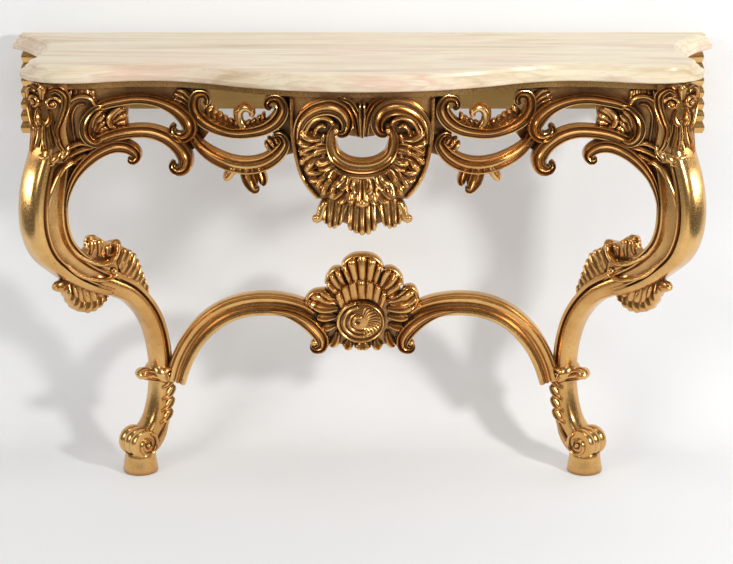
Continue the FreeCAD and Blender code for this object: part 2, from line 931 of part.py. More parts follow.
def make_knee_carvings(leg):
    half = size("post_thickness") / 2
    tall = size("knee_carving_height")
    base = FRAME_TOP - tall
    back = size("post_reach") + size("post_width") / 2
    nodes = [
        knee_node(side * half, base + up * tall, angle, back)
        for side, up, angle in KNEE_OUTLINE_SHARES
    ]
    twins = [
        knee_node(-side * half, base + up * tall, -angle, back)
        for side, up, angle in reversed(KNEE_OUTLINE_SHARES)
    ]
    curves = space_curves(arc_chain(nodes)) + space_curves(arc_chain(twins))
    outline = Part.Wire(Part.__sortEdges__([curve.toShape() for curve in curves]))
    outward = LEG_FRAME.Rotation.multVec(Vector(1, 0, 0))
    board = Part.Face(outline).extrude(outward * size("knee_carving_thickness"))
    front = back + size("knee_carving_thickness") - SINK_SHARE * size("knee_scroll_radius")
    solids = [board]
    for hand in (1, -1):
        scroll = [
            knee_node(hand * side * half, base + up * tall, angle if hand > 0 else 180 - angle, front)
            for side, up, angle in KNEE_SCROLL_SHARES
        ]
        solids.append(ridged_scroll(scroll, size("knee_scroll_radius"), outward))
    shape = united(solids).cut(slab_above(FRAME_TOP))
    blank = carved("knee_carving_blank", shape)
    keep_pair(cut("knee_carving_left", blank, leg), "knee_carving")


# Pierced apron: shares of the apron's reach and of its drop below the rail, angle from the front
APRON_BOARD_SHARES = (
    (-1.040, 0.000, -90),
    (-1.040, 0.720, -90),
    (-0.930, 0.640, 60),
    (-0.955, 0.420, 95),
    (-0.900, 0.250, 50),
    (-0.786, 0.150, 0),
    (-0.640, 0.230, -30),
    (-0.600, 0.220, 80),
    (-0.585, 0.000, 90),
)
APRON_SCROLLS_SHARES = (
    # arch beside the knee
    ((-1.010, 0.400, 95), (-0.962, 0.085, 0), (-0.905, 0.185, -90), (-0.938, 0.275, 180)),
    # rim above the long opening, curled at its right end
    ((-0.925, 0.320, 70), (-0.786, 0.150, 0), (-0.630, 0.280, -38), (-0.595, 0.430, -90),
     (-0.625, 0.530, 180), (-0.652, 0.450, 90)),
    # left C-scroll and the rim below the opening, ending in a hanging curl
    ((-0.890, 0.230, 150), (-0.955, 0.420, -90), (-0.902, 0.600, 10), (-0.798, 0.500, 8),
     (-0.696, 0.510, -15), (-0.620, 0.700, -65), (-0.607, 0.800, -90), (-0.634, 0.925, 180),
     (-0.663, 0.835, 90)),
    # leaf that leaves the knee below the board
    ((-0.985, 0.780, 75), (-0.900, 0.665, 25), (-0.834, 0.645, -5), (-0.780, 0.770, -100)),
    # U-scroll below the rail, curled at both ends
    ((-0.530, 0.170, 90), (-0.556, 0.055, 180), (-0.582, 0.180, -90), (-0.545, 0.345, -55),
     (-0.450, 0.465, 0), (-0.380, 0.440, 12), (-0.290, 0.270, 62), (-0.268, 0.130, 90),
     (-0.292, 0.040, 180), (-0.318, 0.120, -90)),
    # lower U-scroll
    ((-0.580, 0.490, -80), (-0.518, 0.730, -35), (-0.420, 0.800, 0), (-0.330, 0.735, 30),
     (-0.272, 0.550, 78), (-0.297, 0.425, 180), (-0.325, 0.510, -90)),
    # leaf between the long opening and the U-scroll
    ((-0.592, 0.480, 60), (-0.562, 0.290, 80)),
)
DROP_LEAVES_SHARES = (
    ((-0.462, 0.840), (-0.468, 0.970)),
    ((-0.400, 0.840), (-0.374, 1.030)),
    ((-0.365, 0.830), (-0.342, 0.940)),
)


def apron_node(across_share, drop_share, angle, inset):
    across = across_share * size("apron_reach")
    height = RAIL_BOTTOM - drop_share * size("apron_drop")
    return front_node(across, height, angle, inset)


def make_frets():
    face = size("overhang") + size("apron_setback")
    nodes = []
    for across_share, drop_share, angle in APRON_BOARD_SHARES:
        nodes.append((
            across_share * size("apron_reach"),
            RAIL_BOTTOM - drop_share * size("apron_drop"),
            angle,
        ))
    first = upright(nodes[0][0], nodes[0][1])
    last = upright(nodes[-1][0], nodes[-1][1])
    outline = upright_chain(nodes) + [Part.LineSegment(last, first)]
    low = RAIL_BOTTOM - size("apron_drop")
    reach = -APRON_BOARD_SHARES[0][0] * size("apron_reach")
    band = front_band(face, size("apron_board"), low, RAIL_BOTTOM, reach)
    solids = [front_prism(outline).common(band)]
    depth = face + size("scroll_radius") / 2
    for shares in APRON_SCROLLS_SHARES:
        path = [apron_node(*place, depth) for place in shares]
        solids.append(ridged_scroll(path, size("scroll_radius")))
    for top_shares, tip_shares in DROP_LEAVES_SHARES:
        top = apron_node(*top_shares, 0, depth)[0]
        tip = apron_node(*tip_shares, 0, depth)[0]
        leaf = size("drop_leaf_radius")
        solids.append(lobe(top, tip, leaf / 2, leaf))
    whole = united(solids).cut(slab_above(RAIL_BOTTOM))
    past = [line.toShape() for line in beyond_post(1)]
    post_side = Part.Face(Part.Wire(past)).extrude(Vector(0, 0, size("table_height")))
    shape = whole.cut(post_side)
    fret = max(shape.Solids, key=lambda solid: solid.Volume)
    keep_pair(carved("fret_left", fret), "fret")


# Centre cartouche: shares of its half width and height, measured down from the rail
SHELL_OUTLINE_SHARES = (
    (-0.960, 0.000, -90),
    (-0.990, 0.325, -88),
    (-0.900, 0.660, -76),
    (-0.780, 0.850, -58),
    (-0.590, 1.000, -35),
)
SHELL_OPENING_SHARES = (
    (-0.310, 0.395, 0),
    (0.310, 0.395, 0),
    (0.290, 0.480, -100),
    (0.000, 0.590, 180),
    (-0.290, 0.480, 100),
    (-0.310, 0.395, 70),
)
SHELL_RING_SHARES = (
    (-0.400, 0.370, -95),
    (-0.330, 0.560, -60),
    (0.000, 0.690, 0),
    (0.330, 0.560, 60),
    (0.400, 0.370, 95),
)
SHELL_VOLUTE_SHARES = (
    (-0.360, 0.215, 0),
    (-0.215, 0.125, 90),
    (-0.360, 0.035, 180),
    (-0.760, 0.140, -135),
    (-0.870, 0.290, -90),
    (-0.770, 0.385, 0),
    (-0.665, 0.300, 90),
)
# Radial flutes round the opening: count, first angle, and shares of the half width
SHELL_FLUTES = 13
SHELL_FLUTES_ANGLE = 186
FLUTE_START_SHARE = 0.52
FLUTE_END_SHARE = 0.80
FLUTE_DROP_SHARE = 0.18


def shell_place(across_share, drop_share):
    return (
        across_share * size("shell_half_width"),
        RAIL_BOTTOM - drop_share * size("shell_height"),
    )


def mirrored_places(places):
    """Places of a left half followed by their mirror images, in one run."""
    return [(-across, height, -angle) for across, height, angle in reversed(places)]


def shell_hole():
    """Outline of the D-shaped opening with its straight edge on top."""
    places = [shell_place(across, drop) + (angle,) for across, drop, angle in SHELL_OPENING_SHARES]
    top = Part.LineSegment(upright(*places[0][:2]), upright(*places[1][:2]))
    return [top] + upright_chain(places[1:])


def make_shell():
    face = size("shell_setback")
    left = [shell_place(across, drop) + (angle,) for across, drop, angle in SHELL_OUTLINE_SHARES]
    right = mirrored_places(left)
    ends = [
        Part.LineSegment(upright(*left[-1][:2]), upright(*right[0][:2])),
        Part.LineSegment(upright(*right[-1][:2]), upright(*left[0][:2])),
    ]
    outline = upright_chain(left) + upright_chain(right) + ends
    low = RAIL_BOTTOM - size("shell_height")
    band = front_band(face, size("shell_thickness"), low, RAIL_BOTTOM, size("shell_half_width"))
    solids = [front_prism(outline).common(band)]
    scroll_inset = face + SINK_SHARE * size("shell_scroll_radius")
    ring = []
    for across, drop, angle in SHELL_RING_SHARES:
        ring.append(front_node(*shell_place(across, drop), angle, scroll_inset))
    solids.append(ridged_scroll(ring, size("shell_scroll_radius")))
    for hand in (1, -1):
        volute = []
        for across, drop, angle in SHELL_VOLUTE_SHARES:
            turned = angle if hand > 0 else 180 - angle
            volute.append(front_node(*shell_place(hand * across, drop), turned, scroll_inset))
        solids.append(ridged_scroll(volute, size("shell_scroll_radius")))
        rim = []
        for across, height, angle in left[1:]:
            turned = angle if hand > 0 else 180 - angle
            inner = across + size("shell_rim_radius")
            rim.append(front_node(hand * inner, height, turned, scroll_inset))
        solids.append(ridged_scroll(rim, size("shell_rim_radius")))
    centre_share = SHELL_OPENING_SHARES[2][1]
    reach = size("shell_half_width")
    sweep = 2 * (270 - SHELL_FLUTES_ANGLE)
    for number in range(SHELL_FLUTES):
        turn = math.radians(SHELL_FLUTES_ANGLE + sweep * number / (SHELL_FLUTES - 1))
        end_share = FLUTE_END_SHARE + FLUTE_DROP_SHARE * math.sin(turn) ** 2
        ends = []
        for radius_share in (FLUTE_START_SHARE, end_share):
            across = radius_share * reach * math.cos(turn)
            height = RAIL_BOTTOM - centre_share * size("shell_height")
            height += radius_share * reach * math.sin(turn)
            ends.append(front_node(across, height, 0, scroll_inset)[0])
        solids.append(lobe(ends[0], ends[1], size("flute_radius") / 2, size("flute_radius")))
    whole = united(solids).cut(front_prism(shell_hole()))
    whole = whole.cut(slab_above(RAIL_BOTTOM))
    floor = slab_above(0)
    floor.translate(Vector(0, 0, low - size("table_height")))
    whole = whole.cut(floor)
    keep(carved("apron_shell", max(whole.Solids, key=lambda solid: solid.Volume)))


PENDANT_ANGLES = (-168, -150, -133, -118, -104, -90, -76, -62, -47, -30, -12)
PENDANT_ROOT_SHARE = 0.7
PENDANT_SPREAD_SHARE = 0.35


def make_pendant():
    top = RAIL_BOTTOM - size("shell_height")
    half = size("pendant_half_width")
    tall = size("pendant_height")
    radius = size("flute_radius")
    face = size("shell_setback")
    inset = face + SINK_SHARE * radius
    solids = []
    for angle in PENDANT_ANGLES:
        turn = math.radians(angle)
        across = (half - radius) * math.cos(turn)
        height = top + (tall - radius) * math.sin(turn)
        start = front_node(PENDANT_SPREAD_SHARE * across, top + radius, 0, inset)[0]
        end = front_node(across, height, 0, inset)[0]
        solids.append(lobe(start, end, PENDANT_ROOT_SHARE * radius, radius))
    straight = Part.LineSegment(upright(-half + radius, top), upright(half - radius, top))
    board_curves = upright_chain([
        (-half + radius, top, -90),
        (0, top - tall + radius, 0),
        (half - radius, top, 90),
    ])
    band = front_band(face, size("pendant_thickness"), top - tall, top, half)
    board = front_prism(board_curves + [straight]).common(band)
    whole = united([board] + solids).cut(slab_above(top))
    keep(carved("apron_pendant", max(whole.Solids, key=lambda solid: solid.Volume)))


# Stretcher between the ankles
def stretcher_y():
    return WALL - size("stretcher_forward")


def arm_section():
    """Moulded section: flat back, two bevelled beads and a hollow on the front."""
    half_w = size("arm_width") / 2
    half_d = size("arm_depth") / 2
    bead = size("arm_bead_radius")
    hollow = half_d - bead
    left = [
        Vector(-half_w, -half_d, 0),
        Vector(-half_w, hollow, 0),
        Vector(-half_w + bead / 2, half_d, 0),
        Vector(-half_w + bead, half_d, 0),
        Vector(-half_w + 2 * bead, hollow, 0),
    ]
    right = [Vector(-corner.x, corner.y, 0) for corner in reversed(left)]
    return polygon(left + right)


# Centre line of the arm: share of the way from spring to cartouche and of the rise
ARM_PATH_SHARES = (
    (0.00, 0.00, 86),
    (0.13, 0.53, 60),
    (0.46, 0.95, 22),
    (0.70, 1.00, 0),
    (1.00, 0.95, -14),
)


def make_stretcher_arms(leg, collar, holes):
    body = new_body("stretcher_arm_blank")
    start_x = -size("arm_spring_reach")
    run = size("arm_spring_reach") - size("cartouche_half_width")
    rise = size("arch_height") - size("arm_spring_height")
    nodes = []
    for run_share, rise_share, angle in ARM_PATH_SHARES:
        point = Vector(start_x + run_share * run, size("arm_spring_height") + rise_share * rise, 0)
        nodes.append((point, heading(angle)))
    spine = new_sketch(body, "XZ_Plane", arc_geometry(arc_chain(nodes)))
    start, direction = nodes[0]
    lean = math.degrees(math.atan2(-direction.x, direction.y))
    offset = Placement(Vector(start.x, 0, start.y), Rotation(Vector(0, 1, 0), -lean))
    flip = Rotation(Vector(0, 0, 1), 180)
    profile = new_sketch(
        body, "XY_Plane", arm_section(), offset=offset.multiply(Placement(Vector(), flip))
    )
    pipe = body.newObject("PartDesign::AdditivePipe", "Sweep")
    pipe.Profile = profile
    pipe.Spine = (spine, [])
    body.Tip = pipe
    square = new_sketch(
        body,
        "XY_Plane",
        rectangle(-size("cartouche_half_width"), -size("arm_depth"), 0, size("arm_depth")),
    )
    pocket(body, square, "4 * Sizes.table_height")
    body.Placement = Placement(Vector(0, stretcher_y(), 0), Rotation())
    beside_leg = cut("stretcher_arm_beside_leg", body, leg)
    seated = cut("stretcher_arm_seated", beside_leg, collar)
    keep_pair(cut("stretcher_arm_left", seated, holes), "stretcher_arm")


# Cartouche of the stretcher: shares of its half width and height from its bottom
CARTOUCHE_OUTLINE_SHARES = (
    (0.000, 1.000, 180),
    (-0.220, 0.940, -115),
    (-0.300, 0.865, -150),
    (-0.560, 0.800, -140),
    (-0.620, 0.700, -100),
    (-0.840, 0.660, -160),
    (-1.000, 0.560, -90),
    (-1.000, 0.360, -90),
    (-0.900, 0.180, -70),
    (-0.740, 0.035, -10),
    (-0.400, 0.050, -10),
    (0.000, 0.000, 0),
)
CARTOUCHE_FLUTE_SHARES = (
    (90, 0.50, 0.93),
    (112, 0.50, 0.84),
    (68, 0.50, 0.84),
    (136, 0.50, 0.80),
    (44, 0.50, 0.80),
    (160, 0.50, 0.82),
    (20, 0.50, 0.82),
)
BOSS_CENTRE_SHARE = 0.29
BOSS_SPIRAL_TURNS = 2
BOSS_SPIRAL_STEPS = 12


def spiral_nodes(centre, outer, inner):
    """Directed points of a spiral seen from the front."""
    nodes = []
    count = BOSS_SPIRAL_TURNS * BOSS_SPIRAL_STEPS // 2
    for step in range(count + 1):
        share = step / count
        radius = between(outer, inner, share)
        turn = 2 * math.pi * BOSS_SPIRAL_TURNS * share
        point = centre + Vector(radius * math.cos(turn), 0, radius * math.sin(turn))
        drift = (inner - outer) / (2 * math.pi * BOSS_SPIRAL_TURNS)
        along = Vector(
            drift * math.cos(turn) - radius * math.sin(turn),
            0,
            drift * math.sin(turn) + radius * math.cos(turn),
        )
        nodes.append((point, along.normalize()))
    return nodes


def make_cartouche(holes):
    half = size("cartouche_half_width")
    tall = size("cartouche_height")
    low = size("cartouche_bottom")
    depth = size("cartouche_depth")
    face = stretcher_y() - depth / 2
    places = [(a * half, low + h * tall, angle) for a, h, angle in CARTOUCHE_OUTLINE_SHARES]
    right = [(-across, height, -angle) for across, height, angle in reversed(places)]
    curves = upright_chain(places) + upright_chain(right)
    wire = Part.Wire(Part.__sortEdges__([curve.toShape() for curve in curves]))
    board = Part.Face(wire).extrude(Vector(0, depth, 0))
    board.translate(Vector(0, face, 0))
    solids = [board]
    boss = Vector(0, face, low + BOSS_CENTRE_SHARE * tall)
    radius = size("boss_radius")
    rise = size("boss_height")
    ball = (radius ** 2 + rise ** 2) / (2 * rise)
    dome = Part.makeSphere(ball, boss + Vector(0, ball - rise, 0))
    window = Part.makeBox(2 * ball, rise + depth / 2, 2 * ball, boss + Vector(-ball, -rise, -ball))
    solids.append(dome.common(window))
    scroll = size("boss_scroll_radius")
    ring = spiral_nodes(boss + Vector(0, SINK_SHARE * scroll, 0), radius, radius / 3)
    solids.append(ridged_scroll(ring, scroll))
    flute_size = size("flute_radius")
    for angle, near_share, far_share in CARTOUCHE_FLUTE_SHARES:
        turn = math.radians(angle)
        ends = []
        for share in (near_share, far_share):
            reach_x = share * half * math.cos(turn)
            reach_z = share * (1 - BOSS_CENTRE_SHARE) * tall * math.sin(turn)
            ends.append(boss + Vector(reach_x, SINK_SHARE * flute_size, reach_z))
        solids.append(lobe(ends[0], ends[1], flute_size / 2, flute_size))
    blank = carved("stretcher_cartouche_blank", united(solids))
    both = group("cartouche_holes", holes)
    keep(cut("stretcher_cartouche", blank, both))


# Dowels and screws
ALONG_X = Rotation(Vector(0, 1, 0), 90)


def make_stretcher(leg, collar):
    """Arms, cartouche and the dowels between them."""
    end = ARM_PATH_SHARES[-1]
    rise = size("arch_height") - size("arm_spring_height")
    height = size("arm_spring_height") + end[1] * rise
    half = size("dowel_length") / 2
    pitch = size("arm_width") / 4
    left = []
    holes = []
    for lift in (-pitch, pitch):
        place = Placement(
            Vector(-size("cartouche_half_width") - half, stretcher_y(), height + lift), ALONG_X
        )
        left.append(cylinder("dowel", "Sizes.dowel_radius", "Sizes.dowel_length", place))
        holes.append(cylinder("dowel_hole", HOLE_RADIUS_CELLS, "Sizes.dowel_length", place))
    left_holes = group("dowel_holes_left", holes)
    left_dowels = group("dowels_left", left)
    keep(group("stretcher_dowels", [left_dowels, mirrored(left_dowels)]))
    make_stretcher_arms(leg, collar, left_holes)
    make_cartouche([left_holes, mirrored(left_holes)])


def make_top_pads():
    """Cork discs on the posts, the stiles and the two long rails."""
    stile_x = STILE_INNER + size("stile_width") / 2
    stile_y = BACK_FACE - size("stile_depth") / 2
    post = leg_point(size("post_reach"), 0)
    rail_y = front_y(0, size("overhang") + size("rail_width") / 2)[0]
    back_y = BACK_FACE - size("back_rail_thickness") / 2
    spots = [
        Vector(-stile_x, stile_y, FRAME_TOP),
        Vector(stile_x, stile_y, FRAME_TOP),
        Vector(post.x, post.y, FRAME_TOP),
        Vector(-post.x, post.y, FRAME_TOP),
        Vector(0, rail_y, FRAME_TOP),
        Vector(0, back_y, FRAME_TOP),
    ]
    discs = [
        cylinder("pad", "Sizes.pad_radius", "Sizes.pad_thickness", Placement(spot, Rotation()))
        for spot in spots
    ]
    keep(group("top_pads", discs))


def make_screw(place):
    """Countersunk screw driven along -Y, its head flush with the given point."""
    body = new_body("plate_screw")
    shank = size("screw_radius")
    head = size("screw_head_radius")
    cone = size("screw_head_height")
    length = size("screw_length")
    outline = polygon([
        Vector(0, 0, 0),
        Vector(head, 0, 0),
        Vector(shank, -cone, 0),
        Vector(shank, shank - length, 0),
        Vector(0, -length, 0),
    ])
    revolve(body, new_sketch(body, "XY_Plane", outline))
    body.Placement = Placement(place, Rotation())
    return body


def make_wall_plates(rail):
    """Brass plates on the back rail, each with an ear below it for a wall screw."""
    low = FRAME_TOP - size("back_rail_height") - size("plate_drop")
    middle = -size("plate_reach")
    half = size("plate_width") / 2
    ear = low + half
    top = low + size("plate_height")
    body = new_body("wall_plate_blank")
    outline = [
        Part.LineSegment(Vector(middle - half, ear, 0), Vector(middle - half, top, 0)),
        Part.LineSegment(Vector(middle - half, top, 0), Vector(middle + half, top, 0)),
        Part.LineSegment(Vector(middle + half, top, 0), Vector(middle + half, ear, 0)),
        Part.Arc(Vector(middle - half, ear, 0), Vector(middle, low, 0), Vector(middle + half, ear, 0)),
        Part.Circle(Vector(middle, ear, 0), Vector(0, 0, 1), size("plate_hole_radius")),
    ]
    sketch = new_sketch(body, "XZ_Plane", outline)
    feature = pad(body, sketch, "Sizes.plate_thickness")
    feature.Reversed = True
    body.Placement = Placement(Vector(0, BACK_FACE, 0), Rotation())
    pitch = (size("plate_height") - size("plate_drop")) / 4
    rail_low = low + size("plate_drop")
    screws = []
    plate_face = BACK_FACE + size("plate_thickness")
    for step in (1, 3):
        screws.append(make_screw(Vector(middle, plate_face, rail_low + step * pitch)))
    left = group("plate_screws_left", screws)
    keep_pair(cut("wall_plate_left", body, left), "wall_plate")
    both = keep(group("wall_plate_screws", [left, mirrored(left)]))
    keep(cut("back_rail", rail, both))


# Order of making
make_top()
make_front_rail()
make_stiles()
back_rail_blank = make_back_rail()
make_cross_batten()
make_side_aprons()
make_corner_blocks()
leg_left = make_legs()
make_feet(leg_left)
make_leaf("scroll_leaf", SCROLL_LEAF_SHARES, leg_left)
make_leaf("hanging_leaf", HANGING_LEAF_SHARES, leg_left)
collar_left = make_ankle_leaves(leg_left)
make_knee_carvings(leg_left)
make_frets()
make_shell()
make_pendant()
make_stretcher(leg_left, collar_left)
make_top_pads()
make_wall_plates(back_rail_blank)

doc.recompute()
for item in doc.Objects:
    if "Invalid" in item.State or "Error" in item.State:
        raise RuntimeError(f"{item.Label} did not build: {item.State}")
os.makedirs("parts", exist_ok=True)
for piece in pieces:
    if piece.Shape.isNull() or not piece.Shape.isValid():
        raise RuntimeError(f"{piece.Label} is not a valid shape")
    if not piece.Shape.Solids:
        raise RuntimeError(f"{piece.Label} holds no solid")
for piece in pieces:
    piece.Shape.exportStep(os.path.join("parts", f"{piece.Label}.step"))
    print(piece.Label, len(piece.Shape.Solids), round(piece.Shape.Volume))
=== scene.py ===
import json
import math
import random

import bmesh
import bpy
import numpy as np
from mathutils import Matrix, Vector
from mathutils.geometry import delaunay_2d_cdt


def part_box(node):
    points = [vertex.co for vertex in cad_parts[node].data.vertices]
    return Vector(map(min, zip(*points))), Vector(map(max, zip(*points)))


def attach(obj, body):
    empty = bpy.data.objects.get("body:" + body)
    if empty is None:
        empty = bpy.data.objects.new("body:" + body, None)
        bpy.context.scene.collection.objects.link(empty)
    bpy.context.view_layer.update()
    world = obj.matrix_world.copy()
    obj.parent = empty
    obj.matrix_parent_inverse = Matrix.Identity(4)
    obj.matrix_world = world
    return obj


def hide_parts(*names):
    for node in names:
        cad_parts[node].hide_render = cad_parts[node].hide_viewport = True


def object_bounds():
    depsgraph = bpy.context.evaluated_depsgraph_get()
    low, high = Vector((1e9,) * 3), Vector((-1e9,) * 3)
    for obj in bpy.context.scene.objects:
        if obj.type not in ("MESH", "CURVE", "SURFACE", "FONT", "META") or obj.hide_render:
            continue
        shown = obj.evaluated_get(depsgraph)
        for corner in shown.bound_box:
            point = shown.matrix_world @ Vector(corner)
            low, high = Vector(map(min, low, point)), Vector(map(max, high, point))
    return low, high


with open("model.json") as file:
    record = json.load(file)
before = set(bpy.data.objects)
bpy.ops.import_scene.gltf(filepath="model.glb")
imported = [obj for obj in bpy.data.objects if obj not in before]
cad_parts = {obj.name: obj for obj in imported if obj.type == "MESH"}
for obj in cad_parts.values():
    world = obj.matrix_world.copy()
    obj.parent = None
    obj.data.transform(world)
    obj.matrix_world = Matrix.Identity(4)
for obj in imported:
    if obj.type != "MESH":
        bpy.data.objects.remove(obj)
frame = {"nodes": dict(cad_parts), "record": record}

# Carved giltwood console table with a serpentine marble top.
# Ornament is drawn in millimetres on the faces of the table and turned into metres at the end.

MM = 0.001
CAD_LOW, CAD_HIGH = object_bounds()
random.seed(7)


def middle_of(node):
    low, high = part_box(node)
    return (low + high) / (2 * MM)


# Plan of the front, from the size of the whole table
HALF_WIDTH = CAD_HIGH.x / MM
DEPTH = (CAD_HIGH.y - CAD_LOW.y) / MM
WALL = CAD_HIGH.y / MM
FRAME_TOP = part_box("front_rail")[1].z / MM

# Serpentine front: share of the half width, share of the depth, slope of the curve
FRONT_SHARES = (
    (0.000, 1.000, 0.0),
    (0.379, 0.852, 0.554),
    (0.567, 0.765, 0.0),
    (0.688, 0.796, -0.325),
    (0.803, 0.824, 0.0),
    (0.930, 0.660, 3.0),
)


def front_y(across):
    """Y of the top's front edge, and its slope, at places across the table."""
    across = np.asarray(across, float)
    reach = np.abs(across)
    knots = np.array([share * HALF_WIDTH for share, depth, slope in FRONT_SHARES])
    depths = np.array([WALL - share * DEPTH for reached, share, slope in FRONT_SHARES])
    slopes = np.array([slope for reached, share, slope in FRONT_SHARES])
    part = np.clip(np.searchsorted(knots, reach) - 1, 0, len(knots) - 2)
    span = knots[part + 1] - knots[part]
    t = np.clip((reach - knots[part]) / span, 0, 1)
    start, end = depths[part], depths[part + 1]
    leave, arrive = span * slopes[part], span * slopes[part + 1]
    square = 3 * (end - start) - 2 * leave - arrive
    cube = 2 * (start - end) + leave + arrive
    y = start + t * (leave + t * (square + t * cube))
    return y, (leave + t * (2 * square + 3 * t * cube)) / span


# Faces that ornament is drawn on. Each takes two places and a lift off the face.
APRON_INSET = 40
SHELL_INSET = 25


def on_front(inset):
    """Face that follows the serpentine front at one inset."""
    def place(across, height, lift):
        y, slope = front_y(across)
        lean = np.sqrt(1 + slope ** 2)
        return np.stack([across, y + inset * lean - lift, height], axis=-1)
    return place


LEG_ANGLE = math.radians(42)
FOOT = middle_of("foot_left")
OUTWARD = np.array([-math.cos(LEG_ANGLE), -math.sin(LEG_ANGLE)])
ASIDE = np.array([math.sin(LEG_ANGLE), -math.cos(LEG_ANGLE)])


def leg_space(reach, side, height):
    """Point in the frame of the left leg: outward, toward the middle, up."""
    x = FOOT.x + reach * OUTWARD[0] + side * ASIDE[0]
    y = FOOT.y + reach * OUTWARD[1] + side * ASIDE[1]
    return np.stack(np.broadcast_arrays(x, y, height), axis=-1)


def on_leg_side(hand):
    """Flat side of the left leg; hand 1 faces the middle of the table."""
    def place(reach, height, lift):
        return leg_space(reach, hand * lift, height)
    return place


WRAP_REACH = 175
WRAP_RADIUS = 46


def on_wrap(across, height, lift):
    """Round face about the post of the left leg; zero across looks outward."""
    turn = across / WRAP_RADIUS
    radius = WRAP_RADIUS + lift
    return leg_space(WRAP_REACH + radius * np.cos(turn), radius * np.sin(turn), height)


STRETCHER_Y = middle_of("stretcher_arm_left").y


def on_stretcher(across, height, lift):
    return np.stack([across, STRETCHER_Y - lift, height], axis=-1)


# Sections of carved strokes: across from -1 to 1, out of the face in shares of the height
BACK = -0.7
ROUND_STEPS = 8
ROUND_FOOT, ROUND_RISE = 0.05, 0.95


def mirrored_half(half):
    """Section from its left half, whose last point lies in the middle."""
    return half + tuple((-across, out) for across, out in reversed(half[:-1]))


def flat_backed(points, edge=0.96):
    """Close a section with the two corners of its flat back."""
    return points + ((edge, BACK), (-edge, BACK))


ROUND = flat_backed(tuple(
    (-math.cos(turn), ROUND_FOOT + ROUND_RISE * math.sin(turn))
    for turn in (math.pi * k / ROUND_STEPS for k in range(ROUND_STEPS + 1))
))
HOLLOW = flat_backed(mirrored_half((
    (-1.00, 0.10), (-0.95, 0.70), (-0.84, 1.00), (-0.70, 0.94), (-0.60, 0.76), (-0.36, 0.58), (0.00, 0.52),
)))
TRIPLE = flat_backed((
    (-1.00, 0.10), (-0.97, 0.62), (-0.88, 0.88), (-0.76, 0.90), (-0.66, 0.70), (-0.58, 0.50),
    (-0.46, 0.50), (-0.34, 0.70), (-0.16, 0.90), (0.04, 0.96), (0.22, 0.84), (0.36, 0.60),
    (0.46, 0.50), (0.56, 0.62), (0.68, 0.92), (0.82, 1.00), (0.94, 0.74), (1.00, 0.10),
))
FURROWED = flat_backed(mirrored_half((
    (-1.00, 0.00), (-0.86, 0.52), (-0.60, 0.88), (-0.34, 0.92), (-0.14, 0.66), (0.00, 0.54),
)), edge=0.90)

# Curves and strokes: steps, and the least lengths in millimetres
CURVE_STEPS = 20
CURVE_LEAST = 6
CURVE_GAP = 0.01
STROKE_STEP = 3.2
STROKE_WIDTH, STROKE_HEIGHT = 0.6, 0.4
END_PARTS = 3
END_SHARE = 0.1
TINY = 1e-6
# Boards and round forms
PLATE_STEP = 9.0
PLATE_GAP = 0.01
ROUND_SIDES = 48
BULB_SIDES, BULB_RINGS, BULB_TIP = 36, 12, 0.03
BUD_SIDES, BUD_RINGS, BUD_TIP = 14, 6, 0.05
# Lobes: shares of length and width, then the height at the root and what it gains
LOBE_SHARES = ((0.0, 0.45), (0.3, 0.72), (0.62, 1.0), (0.86, 0.92), (1.0, 0.62))
LOBE_ROOT, LOBE_GAIN = 0.7, 0.3
# Volutes: steps in a turn, how the radius falls, and what the width and height lose
VOLUTE_STEPS = 12
VOLUTE_POWER = 0.85
VOLUTE_THINNING, VOLUTE_SINKING = 0.55, 0.2
# Fluted leaves: places from root to tip, the height at each, and how uneven they are
FLUTE_STEPS = 10
FLUTE_SHARES = (0.0, 0.15, 0.32, 0.5, 0.68, 0.82, 0.91, 0.97, 1.0)
FLUTE_FALL = (0.6, 0.9, 1.0, 1.0, 1.0, 0.97, 0.86, 0.64, 0.2)
FLUTE_POWER = 0.6
FLUTE_ROOT, FLUTE_GAIN, FLUTE_FLOOR = 0.4, 0.6, 1
FLUTE_UNEVEN = (0.75, 1.2)
RIPPLE_DEPTH, RIPPLE_TURNS, RIPPLE_SHIFT = 0.22, 1.2, 9
SCALLOP_DEPTH, SCALLOP_MOST = 5.0, 0.2


def round_angles(count):
    return np.linspace(0, 2 * math.pi, count, endpoint=False)


def ring_on(place, first, second, radius, lift, sides):
    """Ring of points round a middle on a face."""
    turn = round_angles(sides)
    return place(first + radius * np.cos(turn), second + radius * np.sin(turn), np.full(sides, lift))


def sideways(curve):
    """Directions to the left of a curve on a face."""
    heading = np.gradient(curve[:, :2], axis=0)
    heading /= np.maximum(np.linalg.norm(heading, axis=1), TINY)[:, None]
    return np.column_stack([-heading[:, 1], heading[:, 0]])


